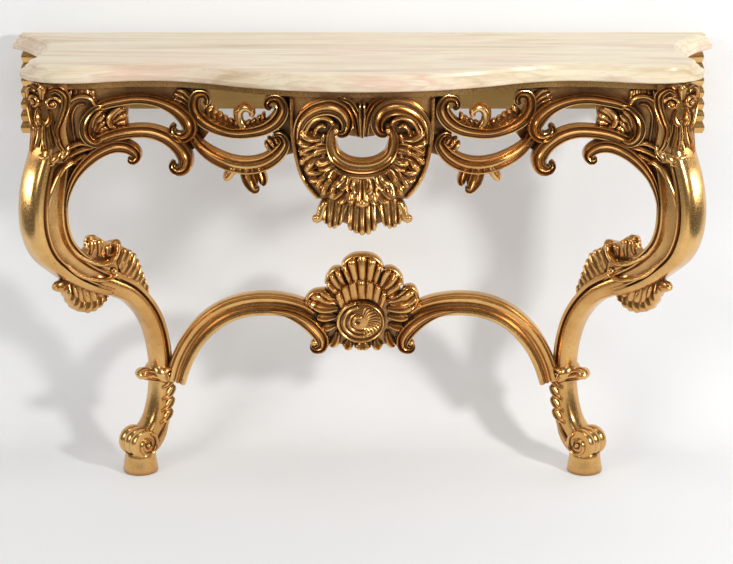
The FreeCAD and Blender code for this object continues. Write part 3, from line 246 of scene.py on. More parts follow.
def dense(rows, step):
    """Even rows on a smooth curve through the given rows; the first two columns set the pace."""
    rows = np.array(rows, float)
    rows = np.vstack([2 * rows[0] - rows[1], rows, 2 * rows[-1] - rows[-2]])
    gaps = np.sqrt(np.maximum(np.linalg.norm(np.diff(rows[:, :2], axis=0), axis=1), CURVE_GAP))
    knots = np.concatenate([[0], np.cumsum(gaps)])
    runs = []
    for k in range(1, len(rows) - 2):
        a, b, c, d = knots[k - 1:k + 3]
        p, q, r, s = rows[k - 1:k + 3]
        t = np.linspace(b, c, CURVE_STEPS, endpoint=False)[:, None]
        pq = ((b - t) * p + (t - a) * q) / (b - a)
        qr = ((c - t) * q + (t - b) * r) / (c - b)
        rs = ((d - t) * r + (t - c) * s) / (d - c)
        pqr = ((c - t) * pq + (t - a) * qr) / (c - a)
        qrs = ((d - t) * qr + (t - b) * rs) / (d - b)
        runs.append(((c - t) * pqr + (t - b) * qrs) / (c - b))
    curve = np.vstack(runs + [rows[-2:-1]])
    pace = np.concatenate([[0], np.cumsum(np.linalg.norm(np.diff(curve[:, :2], axis=0), axis=1))])
    count = max(CURVE_LEAST, int(pace[-1] / step) + 1)
    even = np.linspace(0, pace[-1], count)
    return np.column_stack([np.interp(even, pace, column) for column in curve.T]), even


def along(rows, shares):
    """Places at shares of the length of a smooth curve."""
    curve, pace = dense(rows, STROKE_STEP)
    return np.column_stack([np.interp(shares * pace[-1], pace, column) for column in curve[:, :2].T])


class Carving:
    """Closed shells that make up one carved piece, in millimetres."""

    def __init__(self):
        self.points = []
        self.faces = []

    def skin(self, rings):
        """Tube through rings of equal count, closed at both ends."""
        first = sum(len(block) for block in self.points)
        count = len(rings[0])
        self.points.append(np.vstack(rings))
        for k in range(len(rings) - 1):
            low = first + k * count
            for j in range(count):
                following = (j + 1) % count
                self.faces.append((low + j, low + following, low + count + following, low + count + j))
        last = first + (len(rings) - 1) * count
        self.faces.append(tuple(range(first + count - 1, first - 1, -1)))
        self.faces.append(tuple(range(last, last + count)))

    def stroke(self, place, rows, profile, step=STROKE_STEP, round_ends=(True, True)):
        """Carved stroke through rows of (place, place, width, height, lift)."""
        curve, pace = dense([(tuple(row) + (0,))[:5] for row in rows], step)
        across = sideways(curve)
        width = np.maximum(curve[:, 2], STROKE_WIDTH) / 2
        height = np.maximum(curve[:, 3], STROKE_HEIGHT)
        ease = np.ones(len(pace))
        for wanted, away in zip(round_ends, (pace, pace[-1] - pace)):
            if wanted:
                reach = np.minimum(width, pace[-1] / END_PARTS)
                gone = np.clip(1 - away / reach, 0, 1)
                ease *= np.sqrt(np.clip(1 - gone ** 2, 0, 1))
        ease = np.maximum(ease, END_SHARE)
        shape = np.array(profile)
        out = (width * ease)[:, None] * shape[:, 0]
        lift = curve[:, 4:5] + (height * ease)[:, None] * shape[:, 1]
        first = curve[:, 0:1] + across[:, 0:1] * out
        second = curve[:, 1:2] + across[:, 1:2] * out
        solid = place(first, second, lift)
        self.skin([solid[k] for k in range(len(solid))])

    def strokes(self, place, paths, profile, hand=1):
        """Strokes through several paths, mirrored for hand -1."""
        for rows in paths:
            self.stroke(place, turned(rows, hand), profile)

    def lobes(self, place, rows, hand=1, profile=FURROWED):
        """Leaf lobes by rows of (start, end, width, height, bend, lift, rise), mirrored for hand -1.

        A lobe is widest past its middle; bend bows it and rise lifts its tip.
        """
        for start, end, width, height, bend, lift, rise in rows:
            start, end = np.array(turned((start, end), hand))
            run = end - start
            aside = np.array([-run[1], run[0]]) * (hand * bend)
            path = []
            for share, wide in LOBE_SHARES:
                spot = start + run * share + aside * math.sin(math.pi * share)
                tall = height * (LOBE_ROOT + LOBE_GAIN * share)
                path.append((*spot, width * wide, tall, lift + rise * share ** 2))
            self.stroke(place, path, profile)

    def volutes(self, place, rows, hand=1):
        """Spirals by rows of (place, place, first angle, turns, outer, inner, width, height, lift)."""
        for first, second, begin, turns, outer, inner, width, height, lift in turned(rows, hand):
            begin = begin if hand > 0 else 180 - begin
            count = max(CURVE_LEAST, int(abs(turns) * VOLUTE_STEPS))
            spiral = []
            for k in range(count + 1):
                share = k / count
                turn = math.radians(begin + 360 * turns * hand * share)
                radius = outer + (inner - outer) * share ** VOLUTE_POWER
                spiral.append((
                    first + radius * math.cos(turn),
                    second + radius * math.sin(turn),
                    width * (1 - VOLUTE_THINNING * share),
                    height * (1 - VOLUTE_SINKING * share),
                    lift,
                ))
            self.stroke(place, spiral, ROUND, step=STROKE_STEP / 2)

    def plate(self, place, corners, lift, thickness):
        """Board with an angular outline, bent to its face."""
        ring = []
        for start, end in zip(corners, corners[1:] + corners[:1]):
            count = max(1, int(math.dist(start, end) / PLATE_STEP))
            for k in range(count):
                ring.append(Vector(start).lerp(Vector(end), k / count))
        low = np.min(corners, axis=0)
        high = np.max(corners, axis=0)
        grid = [
            Vector((u, v))
            for u in np.arange(low[0], high[0], PLATE_STEP)
            for v in np.arange(low[1], high[1], PLATE_STEP)
        ]
        outline = list(range(len(ring)))
        spots, edges, faces, *origins = delaunay_2d_cdt(ring + grid, [], [outline], 1, PLATE_GAP)
        kept = sorted({corner for face in faces for corner in face})
        place_of = {corner: k for k, corner in enumerate(kept)}
        flat = np.array([spots[corner] for corner in kept])
        first = sum(len(block) for block in self.points)
        behind = first + len(kept)
        for level in (lift, lift - thickness):
            self.points.append(place(flat[:, 0], flat[:, 1], np.full(len(kept), float(level))))
        sides = set()
        for face in faces:
            turn = [place_of[corner] for corner in face]
            self.faces.append(tuple(first + corner for corner in turn))
            self.faces.append(tuple(behind + corner for corner in reversed(turn)))
            sides.update(zip(turn, turn[1:] + turn[:1]))
        for start, end in sorted(sides):
            if (end, start) not in sides:
                self.faces.append((first + end, first + start, behind + start, behind + end))

    def ruffle(self, place, roots, tips, flutes, depth, lift=0.0, rise=0.0, twist=0.0, base=8.0, bow=0.0):
        """Fluted leaf from a curve of roots to a curve of tips, uneven as carved by hand."""
        share = np.linspace(0, 1, flutes * FLUTE_STEPS + 1)
        out = np.array(FLUTE_SHARES)
        fall = np.array(FLUTE_FALL)
        uneven = [random.uniform(*FLUTE_UNEVEN) for k in range(flutes + 2)]
        rings = []
        for t, start, end in zip(share, along(roots, share), along(tips, share)):
            place_across = flutes * t + twist * (out - 1)
            swell = np.abs(np.sin(math.pi * place_across)) ** FLUTE_POWER
            strong = uneven[min(int(flutes * t), flutes - 1)]
            ripple = 1 + RIPPLE_DEPTH * np.sin(RIPPLE_TURNS * 2 * math.pi * out + RIPPLE_SHIFT * strong)
            run = end - start
            scallop = min(SCALLOP_DEPTH / np.linalg.norm(run), SCALLOP_MOST)
            reach = out * (1 - scallop * (1 - swell[-1] * strong))
            flute = depth * strong * ripple * swell * (FLUTE_ROOT + FLUTE_GAIN * out)
            top = lift + (flute + rise * out ** 2 + FLUTE_FLOOR) * fall
            aside = bow * np.sin(math.pi * out)
            first = start[0] + run[0] * reach - run[1] * aside
            second = start[1] + run[1] * reach + run[0] * aside
            rings.append(place(
                np.concatenate([first, first[-1:], first[:1]]),
                np.concatenate([second, second[-1:], second[:1]]),
                np.concatenate([top, [lift - base, lift - base]]),
            ))
        self.skin(rings)

    def bulb(self, middle, radii, ribs, depth=0.09):
        """Ribbed knob in the frame of the left leg; its axis points outward."""
        around = round_angles(BULB_SIDES)
        rings = []
        for k in range(BULB_RINGS + 1):
            turn = math.pi * k / BULB_RINGS
            swell = max(math.sin(turn), BULB_TIP) * (1 + depth * np.cos(ribs * around))
            rings.append(leg_space(
                np.full(BULB_SIDES, middle[0] - radii[0] * math.cos(turn)),
                middle[1] + radii[1] * swell * np.cos(around),
                middle[2] + radii[2] * swell * np.sin(around),
            ))
        self.skin(rings)

    def buds(self, place, rows, hand=1):
        """Round buds by rows of (place, place, radius, height, lift), mirrored for hand -1."""
        for first, second, radius, height, lift in turned(rows, hand):
            rings = []
            for k in range(BUD_RINGS + 1):
                turn = math.pi * k / BUD_RINGS
                reach = max(radius * math.sin(turn), radius * BUD_TIP)
                level = lift - height * math.cos(turn)
                rings.append(ring_on(place, first, second, reach, level, BUD_SIDES))
            self.skin(rings)


SHARP_ANGLE = math.radians(38)


def in_scene(name, data):
    """New object, linked to the scene."""
    made = bpy.data.objects.new(name, data)
    bpy.context.scene.collection.objects.link(made)
    return made


def finish_piece(node, carving, mirror=False):
    """Turn a carving into a gilded mesh that stands for the named CAD node."""
    name = f"carved_{node}"
    points = np.vstack(carving.points) * MM
    if mirror:
        points = points * np.array([-1, 1, 1])
    mesh = bpy.data.meshes.new(name)
    mesh.from_pydata(points.tolist(), [], carving.faces)
    built = bmesh.new()
    built.from_mesh(mesh)
    bmesh.ops.recalc_face_normals(built, faces=built.faces)
    built.to_mesh(mesh)
    built.free()
    mesh.shade_smooth()
    mesh.set_sharp_from_angle(angle=SHARP_ANGLE)
    mesh.materials.append(SLOT_LOOKS["gilded_wood"])
    piece = in_scene(name, mesh)
    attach(piece, "frame")
    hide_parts(node)


def finish_pair(name, carving):
    """The left piece and its mirror image on the right."""
    finish_piece(f"{name}_left", carving)
    finish_piece(f"{name}_right", carving, mirror=True)


def turned(rows, hand):
    """Rows mirrored for hand -1."""
    return [(hand * row[0],) + tuple(row[1:]) for row in rows]


def whole(rows):
    """Rows of a left half, which ends in the middle, and their mirror images."""
    return list(rows[:-1]) + turned(rows[::-1], -1)


class Look:
    """Material round a principled shader. Sockets take outputs of other nodes or constants."""

    def __init__(self, name):
        self.material = bpy.data.materials.new(name)
        self.material.use_nodes = True
        self.tree = self.material.node_tree
        self.shader = self.tree.nodes["Principled BSDF"]

    def feed(self, socket, value):
        if isinstance(value, bpy.types.NodeSocket):
            self.tree.links.new(value, socket)
        else:
            socket.default_value = (*value, 1) if socket.type == "RGBA" else value

    def fill(self, node, values):
        for key, value in values.items():
            self.feed(node.inputs[key.replace("_", " ")], value)

    def finish(self, **values):
        """Fill sockets of the shader by name."""
        self.fill(self.shader, values)
        return self.material

    def node(self, kind, **values):
        node = self.tree.nodes.new(kind)
        self.fill(node, values)
        return node

    def joined(self, node, places, values, result=0):
        """Fill sockets of a node by place."""
        for place, value in zip(places, values):
            self.feed(node.inputs[place], value)
        return node.outputs[result]

    def mix(self, *values):
        """Colour mix of a factor and two colours."""
        node = self.node("ShaderNodeMix")
        node.data_type = "RGBA"
        return self.joined(node, (0, 6, 7), values, result=2)

    def mix_shaders(self, *values):
        return self.joined(self.node("ShaderNodeMixShader"), (0, 1, 2), values)

    def maths(self, kind, *values):
        node = self.node("ShaderNodeMath")
        node.operation = kind
        node.use_clamp = True
        return self.joined(node, (0, 1), values)

    def plus(self, *values):
        return self.maths("ADD", *values)

    def times(self, *values):
        return self.maths("MULTIPLY", *values)

    def ramp(self, source, stops):
        """Colour ramp through pairs of place and colour."""
        node = self.node("ShaderNodeValToRGB", Fac=source)
        elements = node.color_ramp.elements
        while len(elements) < len(stops):
            elements.new(0.5)
        for element, (place, colour) in zip(elements, stops):
            element.position = place
            element.color = (*colour, 1)
        return node.outputs["Color"]

    def fade(self, source, *stops):
        """Grey ramp through pairs of place and brightness."""
        return self.ramp(source, [(place, (value, value, value)) for place, value in stops])

    def noise(self, scale, stretch=(1, 1, 1), detail=5, roughness=0.55, distortion=0.0):
        """Noise on the object's own coordinates."""
        place = self.node("ShaderNodeTexCoord").outputs["Object"]
        mapped = self.node("ShaderNodeMapping", Vector=place, Scale=stretch).outputs["Vector"]
        return self.node(
            "ShaderNodeTexNoise", Vector=mapped, Scale=scale, Detail=detail, Roughness=roughness,
            Distortion=distortion,
        ).outputs["Fac"]

    def bump(self, height, strength, distance):
        node = self.node("ShaderNodeBump", Height=height, Strength=strength, Distance=distance)
        return node.outputs["Normal"]


# Gilding: reach in metres and samples of the occlusion that finds the hollows, and how much red bole and
# painted shade goes into them
HOLLOW_REACH, HOLLOW_SAMPLES = 0.03, 6
TINT_AND_SHADE_SHARE = 0.75


def gilded(name, bright, deep, bole_and_shade_colour, grime_and_shade_colour):
    """Rubbed gold leaf, tinted red and darkened toward a dark wash in its occluded hollows: partly real bole
    and grime, partly painted shade.
    """
    look = Look(name)
    broad = look.noise(9, detail=4)
    fine = look.noise(70, detail=6, roughness=0.65)
    grain = look.noise(420, detail=3)
    gold = look.mix(look.fade(broad, (0.35, 0), (0.65, 1)), bright, deep)
    occlusion = look.node("ShaderNodeAmbientOcclusion", Distance=HOLLOW_REACH)
    occlusion.samples = HOLLOW_SAMPLES
    hollow = occlusion.outputs["AO"]
    uneven = look.fade(fine, (0.25, 0.6), (0.7, 1))
    # Painted shade: partly occluded hollows are tinted toward the red bole, partly real bole and partly shade
    # painted into the colour.
    hollow_tint_and_shade = look.times(look.fade(hollow, (0.45, 1), (0.95, 0)), uneven)
    # Painted shade: the deepest hollows go dark toward the wash colour, partly real grime and partly shade
    # painted into the colour.
    grime_and_shade = look.times(look.fade(hollow, (0.20, 1), (0.62, 0)), uneven)
    red = look.plus(look.times(hollow_tint_and_shade, TINT_AND_SHADE_SHARE), look.fade(fine, (0.60, 0), (0.72, 0.4)))
    dull = look.fade(grime_and_shade, (0.0, 0.20), (1.0, 0.50))
    return look.finish(
        Base_Color=look.mix(grime_and_shade, look.mix(red, gold, bole_and_shade_colour), grime_and_shade_colour),
        Metallic=look.fade(grime_and_shade, (0.1, 1.0), (0.9, 0.3)),
        Roughness=look.plus(dull, look.fade(grain, (0.3, 0.0), (0.8, 0.12))),
        Coat_Weight=0.4,
        Coat_Roughness=0.18,
        Normal=look.bump(fine, strength=0.15, distance=0.0010),
    )


def painted_wood(name, light, dark):
    """Flat paint or cork over a grain that runs along X."""
    look = Look(name)
    grain = look.noise(30, stretch=(0.12, 1, 1), detail=7, roughness=0.6)
    tone = look.plus(look.times(grain, 0.6), look.times(look.noise(6, detail=3), 0.4))
    return look.finish(
        Base_Color=look.ramp(tone, ((0.35, dark), (0.65, light))),
        Roughness=0.62,
        Normal=look.bump(grain, strength=0.2, distance=0.0006),
    )


# Stone: colours across the long streaks, then the two tints and how strong they are
STONE_BANDS = (
    (0.30, (0.60, 0.45, 0.29)),
    (0.42, (0.79, 0.66, 0.46)),
    (0.52, (0.87, 0.77, 0.58)),
    (0.60, (0.76, 0.57, 0.42)),
    (0.70, (0.84, 0.72, 0.53)),
)
OLIVE, OLIVE_SHARE = (0.57, 0.49, 0.31), 0.5
PINK, PINK_SHARE = (0.84, 0.58, 0.47), 0.32


def streaked_marble():
    """Cream stone with long pink and olive streaks."""
    look = Look("streaked_marble")
    broad = look.noise(5, stretch=(0.35, 3.2, 3.2), detail=6, roughness=0.6, distortion=0.7)
    thin = look.noise(11, stretch=(0.30, 4.5, 4.5), detail=8, roughness=0.62, distortion=0.9)
    olive = look.fade(thin, (0.54, 0), (0.66, 1))
    pink = look.fade(look.noise(4, detail=4), (0.48, 0), (0.66, 1))
    tinted = look.mix(look.times(olive, OLIVE_SHARE), look.ramp(broad, STONE_BANDS), OLIVE)
    return look.finish(
        Base_Color=look.mix(look.times(pink, PINK_SHARE), tinted, PINK),
        Roughness=look.fade(thin, (0.3, 0.30), (0.7, 0.42)),
        Specular_IOR_Level=0.4,
        Normal=look.bump(thin, strength=0.03, distance=0.0004),
    )


SPOT_ROUGHNESS = 0.15


def plain_metal(name, light, dark, rough):
    """Bare metal that is darker and duller in spots."""
    look = Look(name)
    spots = look.noise(60, detail=5)
    return look.finish(
        Base_Color=look.ramp(spots, ((0.3, dark), (0.7, light))),
        Roughness=look.fade(spots, (0.3, rough + SPOT_ROUGHNESS), (0.7, rough)),
        Metallic=1.0,
        Normal=look.bump(spots, strength=0.1, distance=0.0003),
    )


SLOT_LOOKS = {
    "gilded_wood": gilded(
        "gold_leaf",
        bright=(0.86, 0.53, 0.19),
        deep=(0.64, 0.335, 0.095),
        # the bole colour is partly real red bole and partly painted shade in the hollows
        bole_and_shade_colour=(0.40, 0.145, 0.042),
        # the dark wash colour is partly real grime and partly painted shade in the hollows
        grime_and_shade_colour=(0.046, 0.016, 0.005),
    ),
    "ochre_wood": painted_wood("ochre_paint", light=(0.62, 0.42, 0.14), dark=(0.42, 0.27, 0.08)),
    "marble": streaked_marble(),
    "cork": painted_wood("cork", light=(0.50, 0.36, 0.22), dark=(0.30, 0.20, 0.11)),
    "brass": plain_metal("aged_brass", light=(0.75, 0.58, 0.30), dark=(0.45, 0.32, 0.15), rough=0.3),
    "steel": plain_metal("plain_steel", light=(0.55, 0.54, 0.52), dark=(0.34, 0.33, 0.32), rough=0.35),
}
for row in frame["record"]["subparts"]:
    part = frame["nodes"][row["node"]]
    part.data.materials.clear()
    part.data.materials.append(SLOT_LOOKS[row["material_slot"]])


# Pierced apron, left half. Rows are across, up, width, height and lift, in millimetres.
FRET_BOARDS = (
    # beside the knee
    ((-596, 831), (-500, 831), (-500, 797), (-524, 774), (-532, 753), (-526, 732), (-508, 722), (-474, 733),
     (-450, 724), (-440, 704), (-468, 711), (-498, 704), (-530, 684), (-562, 648), (-596, 666)),
    # over the long opening
    ((-505, 831), (-326, 831), (-316, 800), (-320, 770), (-332, 738), (-346, 738), (-336, 758), (-352, 780),
     (-380, 795), (-410, 802), (-442, 803), (-474, 799), (-505, 792)),
    # left end of the long opening
    ((-536, 802), (-500, 808), (-464, 802), (-450, 787), (-453, 770), (-451, 752), (-470, 738), (-505, 726),
     (-530, 735), (-540, 755)),
    # where the scrolls meet
    ((-348, 742), (-318, 774), (-288, 752), (-302, 732), (-318, 712), (-334, 700), (-354, 716)),
    # beside the shell
    ((-152, 831), (-134, 831), (-132, 716), (-144, 712), (-158, 722), (-148, 744), (-160, 764), (-152, 786),
     (-146, 808)),
)
FRET_SCROLLS = (
    # over the long opening
    ((-516, 786, 12, 12), (-496, 797, 20, 15), (-466, 803, 22, 16), (-438, 806, 22, 16), (-408, 804, 23, 17),
     (-379, 796, 26, 18), (-352, 781, 31, 19), (-334, 761, 34, 21), (-333, 743, 29, 20), (-346, 731, 23, 18),
     (-361, 734, 18, 17), (-367, 746, 14, 16), (-359, 755, 9, 14)),
    # C at the left end of the opening
    ((-492, 789, 10, 14), (-507, 790, 16, 17), (-524, 775, 21, 20), (-532, 754, 24, 21), (-527, 733, 21, 20),
     (-512, 722, 17, 17), (-497, 728, 12, 15)),
    # band under the opening that ends in a hanging curl
    ((-524, 724, 14, 11), (-504, 728, 22, 14), (-478, 736, 26, 15), (-446, 741, 27, 16), (-409, 740, 28, 16),
     (-378, 729, 30, 17), (-354, 711, 33, 18), (-341, 689, 33, 19), (-346, 670, 27, 18), (-360, 664, 20, 17),
     (-369, 674, 14, 16), (-362, 682, 9, 14)),
    # hook that leaves the leg
    ((-575, 566, 2, 4, 3), (-573, 596, 6, 8, 5), (-567, 627, 12, 11, 6), (-553, 659, 18, 13, 4),
     (-531, 685, 23, 15), (-504, 704, 25, 16), (-474, 713, 26, 17), (-449, 708, 25, 18), (-436, 694, 21, 17),
     (-444, 683, 16, 16), (-454, 689, 10, 14)),
    # U under the rail
    ((-305, 799, 8, 13), (-296, 804, 12, 15), (-301, 817, 17, 17), (-317, 815, 22, 19), (-322, 793, 25, 20),
     (-310, 771, 27, 20), (-285, 756, 25, 19), (-250, 749, 22, 18), (-213, 754, 23, 18), (-181, 766, 26, 19),
     (-159, 785, 29, 20), (-151, 806, 27, 21), (-160, 822, 21, 19), (-176, 819, 17, 17), (-180, 806, 12, 15),
     (-171, 802, 8, 13)),
    # bulb that hangs from the lower U
    ((-222, 694, 28, 13), (-220, 672, 31, 15), (-213, 653, 29, 17), (-205, 643, 20, 16), (-197, 647, 12, 13)),
    ((-200, 692, 20, 12), (-194, 674, 22, 14), (-190, 659, 19, 15), (-195, 652, 12, 13)),
    # lower U
    ((-332, 746, 14, 11), (-314, 718, 24, 14), (-290, 700, 30, 16), (-256, 688, 33, 17), (-218, 687, 33, 17),
     (-184, 698, 31, 18), (-158, 719, 28, 19), (-147, 740, 21, 19), (-157, 753, 14, 17), (-171, 748, 9, 15)),
)
FRET_BEADS = (
    # arch beside the knee and the line inside it
    ((-579, 684, 9, 10), (-568, 720, 11, 11), (-571, 751, 11, 12), (-573, 780, 12, 13), (-561, 804, 13, 14),
     (-540, 815, 13, 14), (-519, 809, 12, 13), (-510, 792, 10, 11)),
    ((-558, 690, 6, 5, -4), (-553, 722, 6, 5, -4), (-556, 752, 7, 5, -4), (-556, 778, 7, 5, -4),
     (-545, 796, 7, 5, -4), (-530, 797, 6, 5, -4)),
    # ridges that sweep up from the knee
    ((-600, 678, 8, 9, 2), (-581, 703, 11, 11, 1), (-560, 716, 12, 12), (-540, 722, 11, 11),
     (-522, 716, 7, 8)),
    ((-591, 668, 8, 9, 2), (-572, 691, 11, 11, 1), (-552, 704, 12, 12), (-532, 711, 11, 11),
     (-514, 711, 7, 8)),
    ((-582, 656, 8, 9, 2), (-564, 679, 10, 10, 1), (-546, 692, 11, 11), (-528, 700, 9, 10)),
    # second C inside the first
    ((-462, 790, 6, 9, 4), (-477, 782, 11, 12, 4), (-487, 768, 12, 13, 4), (-484, 754, 10, 12, 3),
     (-472, 748, 6, 8, 2)),
    # curl inside the U
    ((-222, 755, 14, 11), (-234, 771, 18, 13), (-236, 790, 20, 15), (-223, 801, 19, 16), (-209, 792, 14, 14),
     (-214, 782, 9, 12)),
    # curl that hangs from the lower U
    ((-244, 690, 16, 12), (-252, 672, 19, 13), (-262, 658, 17, 14), (-269, 654, 11, 12)),
    # edge of the knee
    ((-594, 828, 10, 11), (-590, 800, 14, 14), (-588, 770, 13, 14), (-593, 738, 13, 13), (-590, 708, 12, 12),
     (-580, 688, 9, 10)),
)
# Fluted leaves: roots, tips, flutes, depth and twist, then how far a twist bows them
FRET_BOW = 0.3
FRET_LEAVES = (
    # inside the C
    (((-522, 758), (-517, 746), (-503, 738)), ((-505, 789), (-492, 778), (-491, 760), (-484, 746)),
     4, 8, 0.5),
    # tongue beside the long opening
    (((-482, 772), (-481, 760), (-472, 752)), ((-464, 793), (-453, 780), (-452, 766), (-454, 752)),
     3, 9, 0.3),
    # upright ruffle beside the U
    (((-334, 776), (-330, 814)), ((-356, 792), (-366, 810), (-354, 829)), 4, 10, -0.4),
    # right end of the lower U
    (((-154, 704), (-142, 718)), ((-188, 728), (-180, 746), (-160, 750)), 3, 11, 0.3),
    # along the inside of the U
    (((-304, 774), (-286, 762), (-250, 756), (-214, 760), (-182, 772)),
     ((-292, 800), (-276, 790), (-246, 774), (-214, 776), (-184, 796)), 11, 8, 0.6),
    # where the scrolls meet
    (((-300, 716), (-318, 732), (-330, 742)), ((-318, 712), (-338, 722), (-352, 734)), 4, 7, 0.0),
    # between the rail and the scroll
    (((-566, 822), (-540, 830), (-512, 822)), ((-566, 806), (-540, 812), (-508, 804)), 5, 6, 0.0),
)


def carve_fret():
    carving = Carving()
    front = on_front(APRON_INSET)
    for corners in FRET_BOARDS:
        carving.plate(front, corners, lift=-6, thickness=14)
    carving.strokes(front, FRET_SCROLLS, TRIPLE)
    carving.strokes(front, FRET_BEADS, ROUND)
    for roots, tips, flutes, depth, twist in FRET_LEAVES:
        bow = FRET_BOW * twist
        carving.ruffle(front, roots, tips, flutes, depth, lift=-1, rise=3, twist=twist, bow=bow)
    finish_pair("fret", carving)


# Centre cartouche of the apron, left half
SHELL_MIDDLE = 742
SHELL_BOARD = (
    (0, 831), (-136, 831), (-136, 765), (-125, 702), (-108, 662), (-84, 635), (-40, 622), (0, 620), (0, 698),
    (-30, 704), (-50, 724), (-58, 750), (-46, 764), (-20, 757), (0, 755),
)
SHELL_RIM = (
    (-133, 829, 8, 7), (-133, 790, 8, 8), (-132, 760, 9, 8), (-125, 715, 9, 8), (-115, 680, 9, 8),
    (-101, 656, 9, 8), (-82, 635, 8, 7),
)
SHELL_SCROLLS = (
    # volute
    ((-123, 738, 10, 9), (-121, 768, 20, 13), (-109, 794, 27, 16), (-85, 811, 31, 18), (-57, 815, 34, 20),
     (-35, 804, 32, 21), (-27, 784, 26, 21), (-34, 766, 18, 20), (-49, 763, 11, 16)),
    # stem between the volutes
    ((-5, 756, 12, 15), (-7, 780, 15, 19), (-12, 802, 17, 19), (-24, 821, 17, 16), (-42, 830, 10, 10)),
)
# Ring round the opening, to its lowest place
SHELL_RING = (
    (-46, 784, 12, 13), (-56, 766, 19, 18), (-58, 744, 23, 20), (-50, 721, 25, 21), (-29, 706, 26, 21),
    (0, 701, 26, 21),
)
# Plain hollow between the ring and the leaves
SHELL_BAND = (
    (-70, 764, 12, 9), (-76, 738, 14, 10), (-68, 710, 15, 10), (-44, 688, 16, 10), (0, 680, 16, 10),
)
SHELL_BEADS = (
    ((-107, 752, 8, 9), (-104, 772, 11, 12), (-92, 788, 13, 14), (-74, 794, 13, 15), (-58, 787, 11, 14),
     (-54, 776, 8, 12)),
    ((-90, 758, 8, 8), (-86, 771, 10, 11), (-76, 778, 10, 12), (-67, 773, 8, 11)),
)
SHELL_BUDS = ((-49, 770, 7, 9, 11),)
LOWEST_BUD = ((0, 630, 9, 9, 12),)
SHELL_SPINE = (((0, 754), (0, 826), 20, 22, 0, 2, -4),)
# Leaves that spread from the ring: angle, lift, and how far their flutes wind
SHELL_LEAVES = ((178, 2, 0.5), (197, 5, -0.5), (215, 2, 0.6), (232, 6, -0.4), (249, 3, 0.5))
# Their forms: near reach, far reach and spread in degrees, flutes and depth
LEAF = (72, 124, 22, 3, 14)
FINGER = (66, 98, 15, 2, 11)
LOWEST_LEAF = (68, 120, 28, 4, 12)
LOWEST_ANGLE, LOWEST_LIFT = 270, 6
FINGER_TURN, FINGER_LIFT = 9, 4
# Shares of the spread, and for tips how far they fall short
LEAF_ROOTS = (-0.5, 0, 0.5)
LEAF_TIPS = ((-0.6, 5), (0, 0), (0.6, 5))
LEAF_BOW = 0.25
HOLLOW_LEAVES = (((-112, 742), (-112, 766), 12, 8, 0.1, 0, 3), ((-96, 746), (-92, 768), 12, 8, 0.1, 0, 3))


def round_leaf(carving, place, hand, turn, form, lift, twist):
    """Fluted leaf that points away from the middle of the shell."""
    near, far, spread, flutes, depth = form

    def spot(degrees, radius):
        way = math.radians(degrees)
        return (hand * radius * math.cos(way), SHELL_MIDDLE + radius * math.sin(way))

    roots = [spot(turn + spread * part, near) for part in LEAF_ROOTS]
    tips = [spot(turn + spread * part, far - short) for part, short in LEAF_TIPS]
    bow = LEAF_BOW * hand * twist
    carving.ruffle(place, roots, tips, flutes, depth, lift, rise=5, twist=twist, bow=bow)


def carve_shell():
    carving = Carving()
    front = on_front(SHELL_INSET)
    for hand in (1, -1):
        carving.plate(front, turned(SHELL_BOARD, hand), lift=-4, thickness=18)
        carving.strokes(front, SHELL_SCROLLS, TRIPLE, hand)
        carving.strokes(front, (SHELL_RIM, *SHELL_BEADS), ROUND, hand)
        carving.buds(front, SHELL_BUDS, hand)
        carving.lobes(front, HOLLOW_LEAVES, hand)
        # leaves that spread from the ring, with short fingers over their roots
        for turn, lift, twist in SHELL_LEAVES:
            round_leaf(carving, front, hand, turn, LEAF, lift, twist)
            round_leaf(carving, front, hand, turn + FINGER_TURN, FINGER, lift + FINGER_LIFT, -twist)
    carving.stroke(front, whole(SHELL_RING), HOLLOW)
    carving.stroke(front, whole(SHELL_BAND), ROUND)
    carving.lobes(front, SHELL_SPINE)
    carving.buds(front, LOWEST_BUD)
    round_leaf(carving, front, 1, LOWEST_ANGLE, LOWEST_LEAF, LOWEST_LIFT, 0.0)
    finish_piece("apron_shell", carving)


# Pendant: left half of its board, roots and tips of its side leaf and of its middle leaf
PENDANT_BOARD = ((-72, 630), (-70, 600), (-30, 586), (0, 580))
PENDANT_BUDS = ((-88, 599, 7, 6, 9),)
PENDANT_SIDE = (((-80, 629), (-52, 637), (-24, 628)), ((-76, 592), (-66, 581), (-54, 576), (-38, 588)))
PENDANT_MIDDLE = (((-26, 628), (0, 624), (26, 628)), ((-29, 580), (-14, 569), (0, 566), (14, 569), (29, 580)))
PENDANT_CURL = (
    (-68, 634, 14, 10), (-76, 618, 17, 12), (-80, 602, 17, 13), (-88, 594, 14, 13), (-94, 600, 9, 11),
)


def carve_pendant():
    carving = Carving()
    front = on_front(SHELL_INSET)
    carving.plate(front, whole(PENDANT_BOARD), lift=-4, thickness=14)
    for hand in (1, -1):
        roots, tips = (turned(edge, hand) for edge in PENDANT_SIDE)
        carving.ruffle(front, roots, tips, flutes=4, depth=9, lift=2, rise=4)
        carving.strokes(front, [PENDANT_CURL], ROUND, hand)
        carving.buds(front, PENDANT_BUDS, hand)
    carving.ruffle(front, *PENDANT_MIDDLE, flutes=5, depth=9, lift=5, rise=5)
    finish_piece("apron_pendant", carving)


# Legs: reach, height, width in the plane of the leg, thickness
LEG_ROWS = (
    (186, 722, 62, 58), (193, 690, 68, 60), (203, 655, 74, 61), (210, 622, 77, 61), (213, 588, 78, 61),
    (210, 552, 77, 61), (197, 517, 73, 60), (172, 487, 64, 58), (140, 460, 60, 56), (104, 438, 56, 54),
    (62, 417, 51, 51), (22, 393, 46, 48), (-11, 359, 42, 46), (-34, 322, 40, 45), (-47, 284, 39, 44),
    (-54, 246, 38, 43), (-56, 208, 37, 42), (-54, 166, 39, 42), (-48, 128, 43, 43), (-38, 98, 48, 44),
    (-20, 74, 50, 46),
)
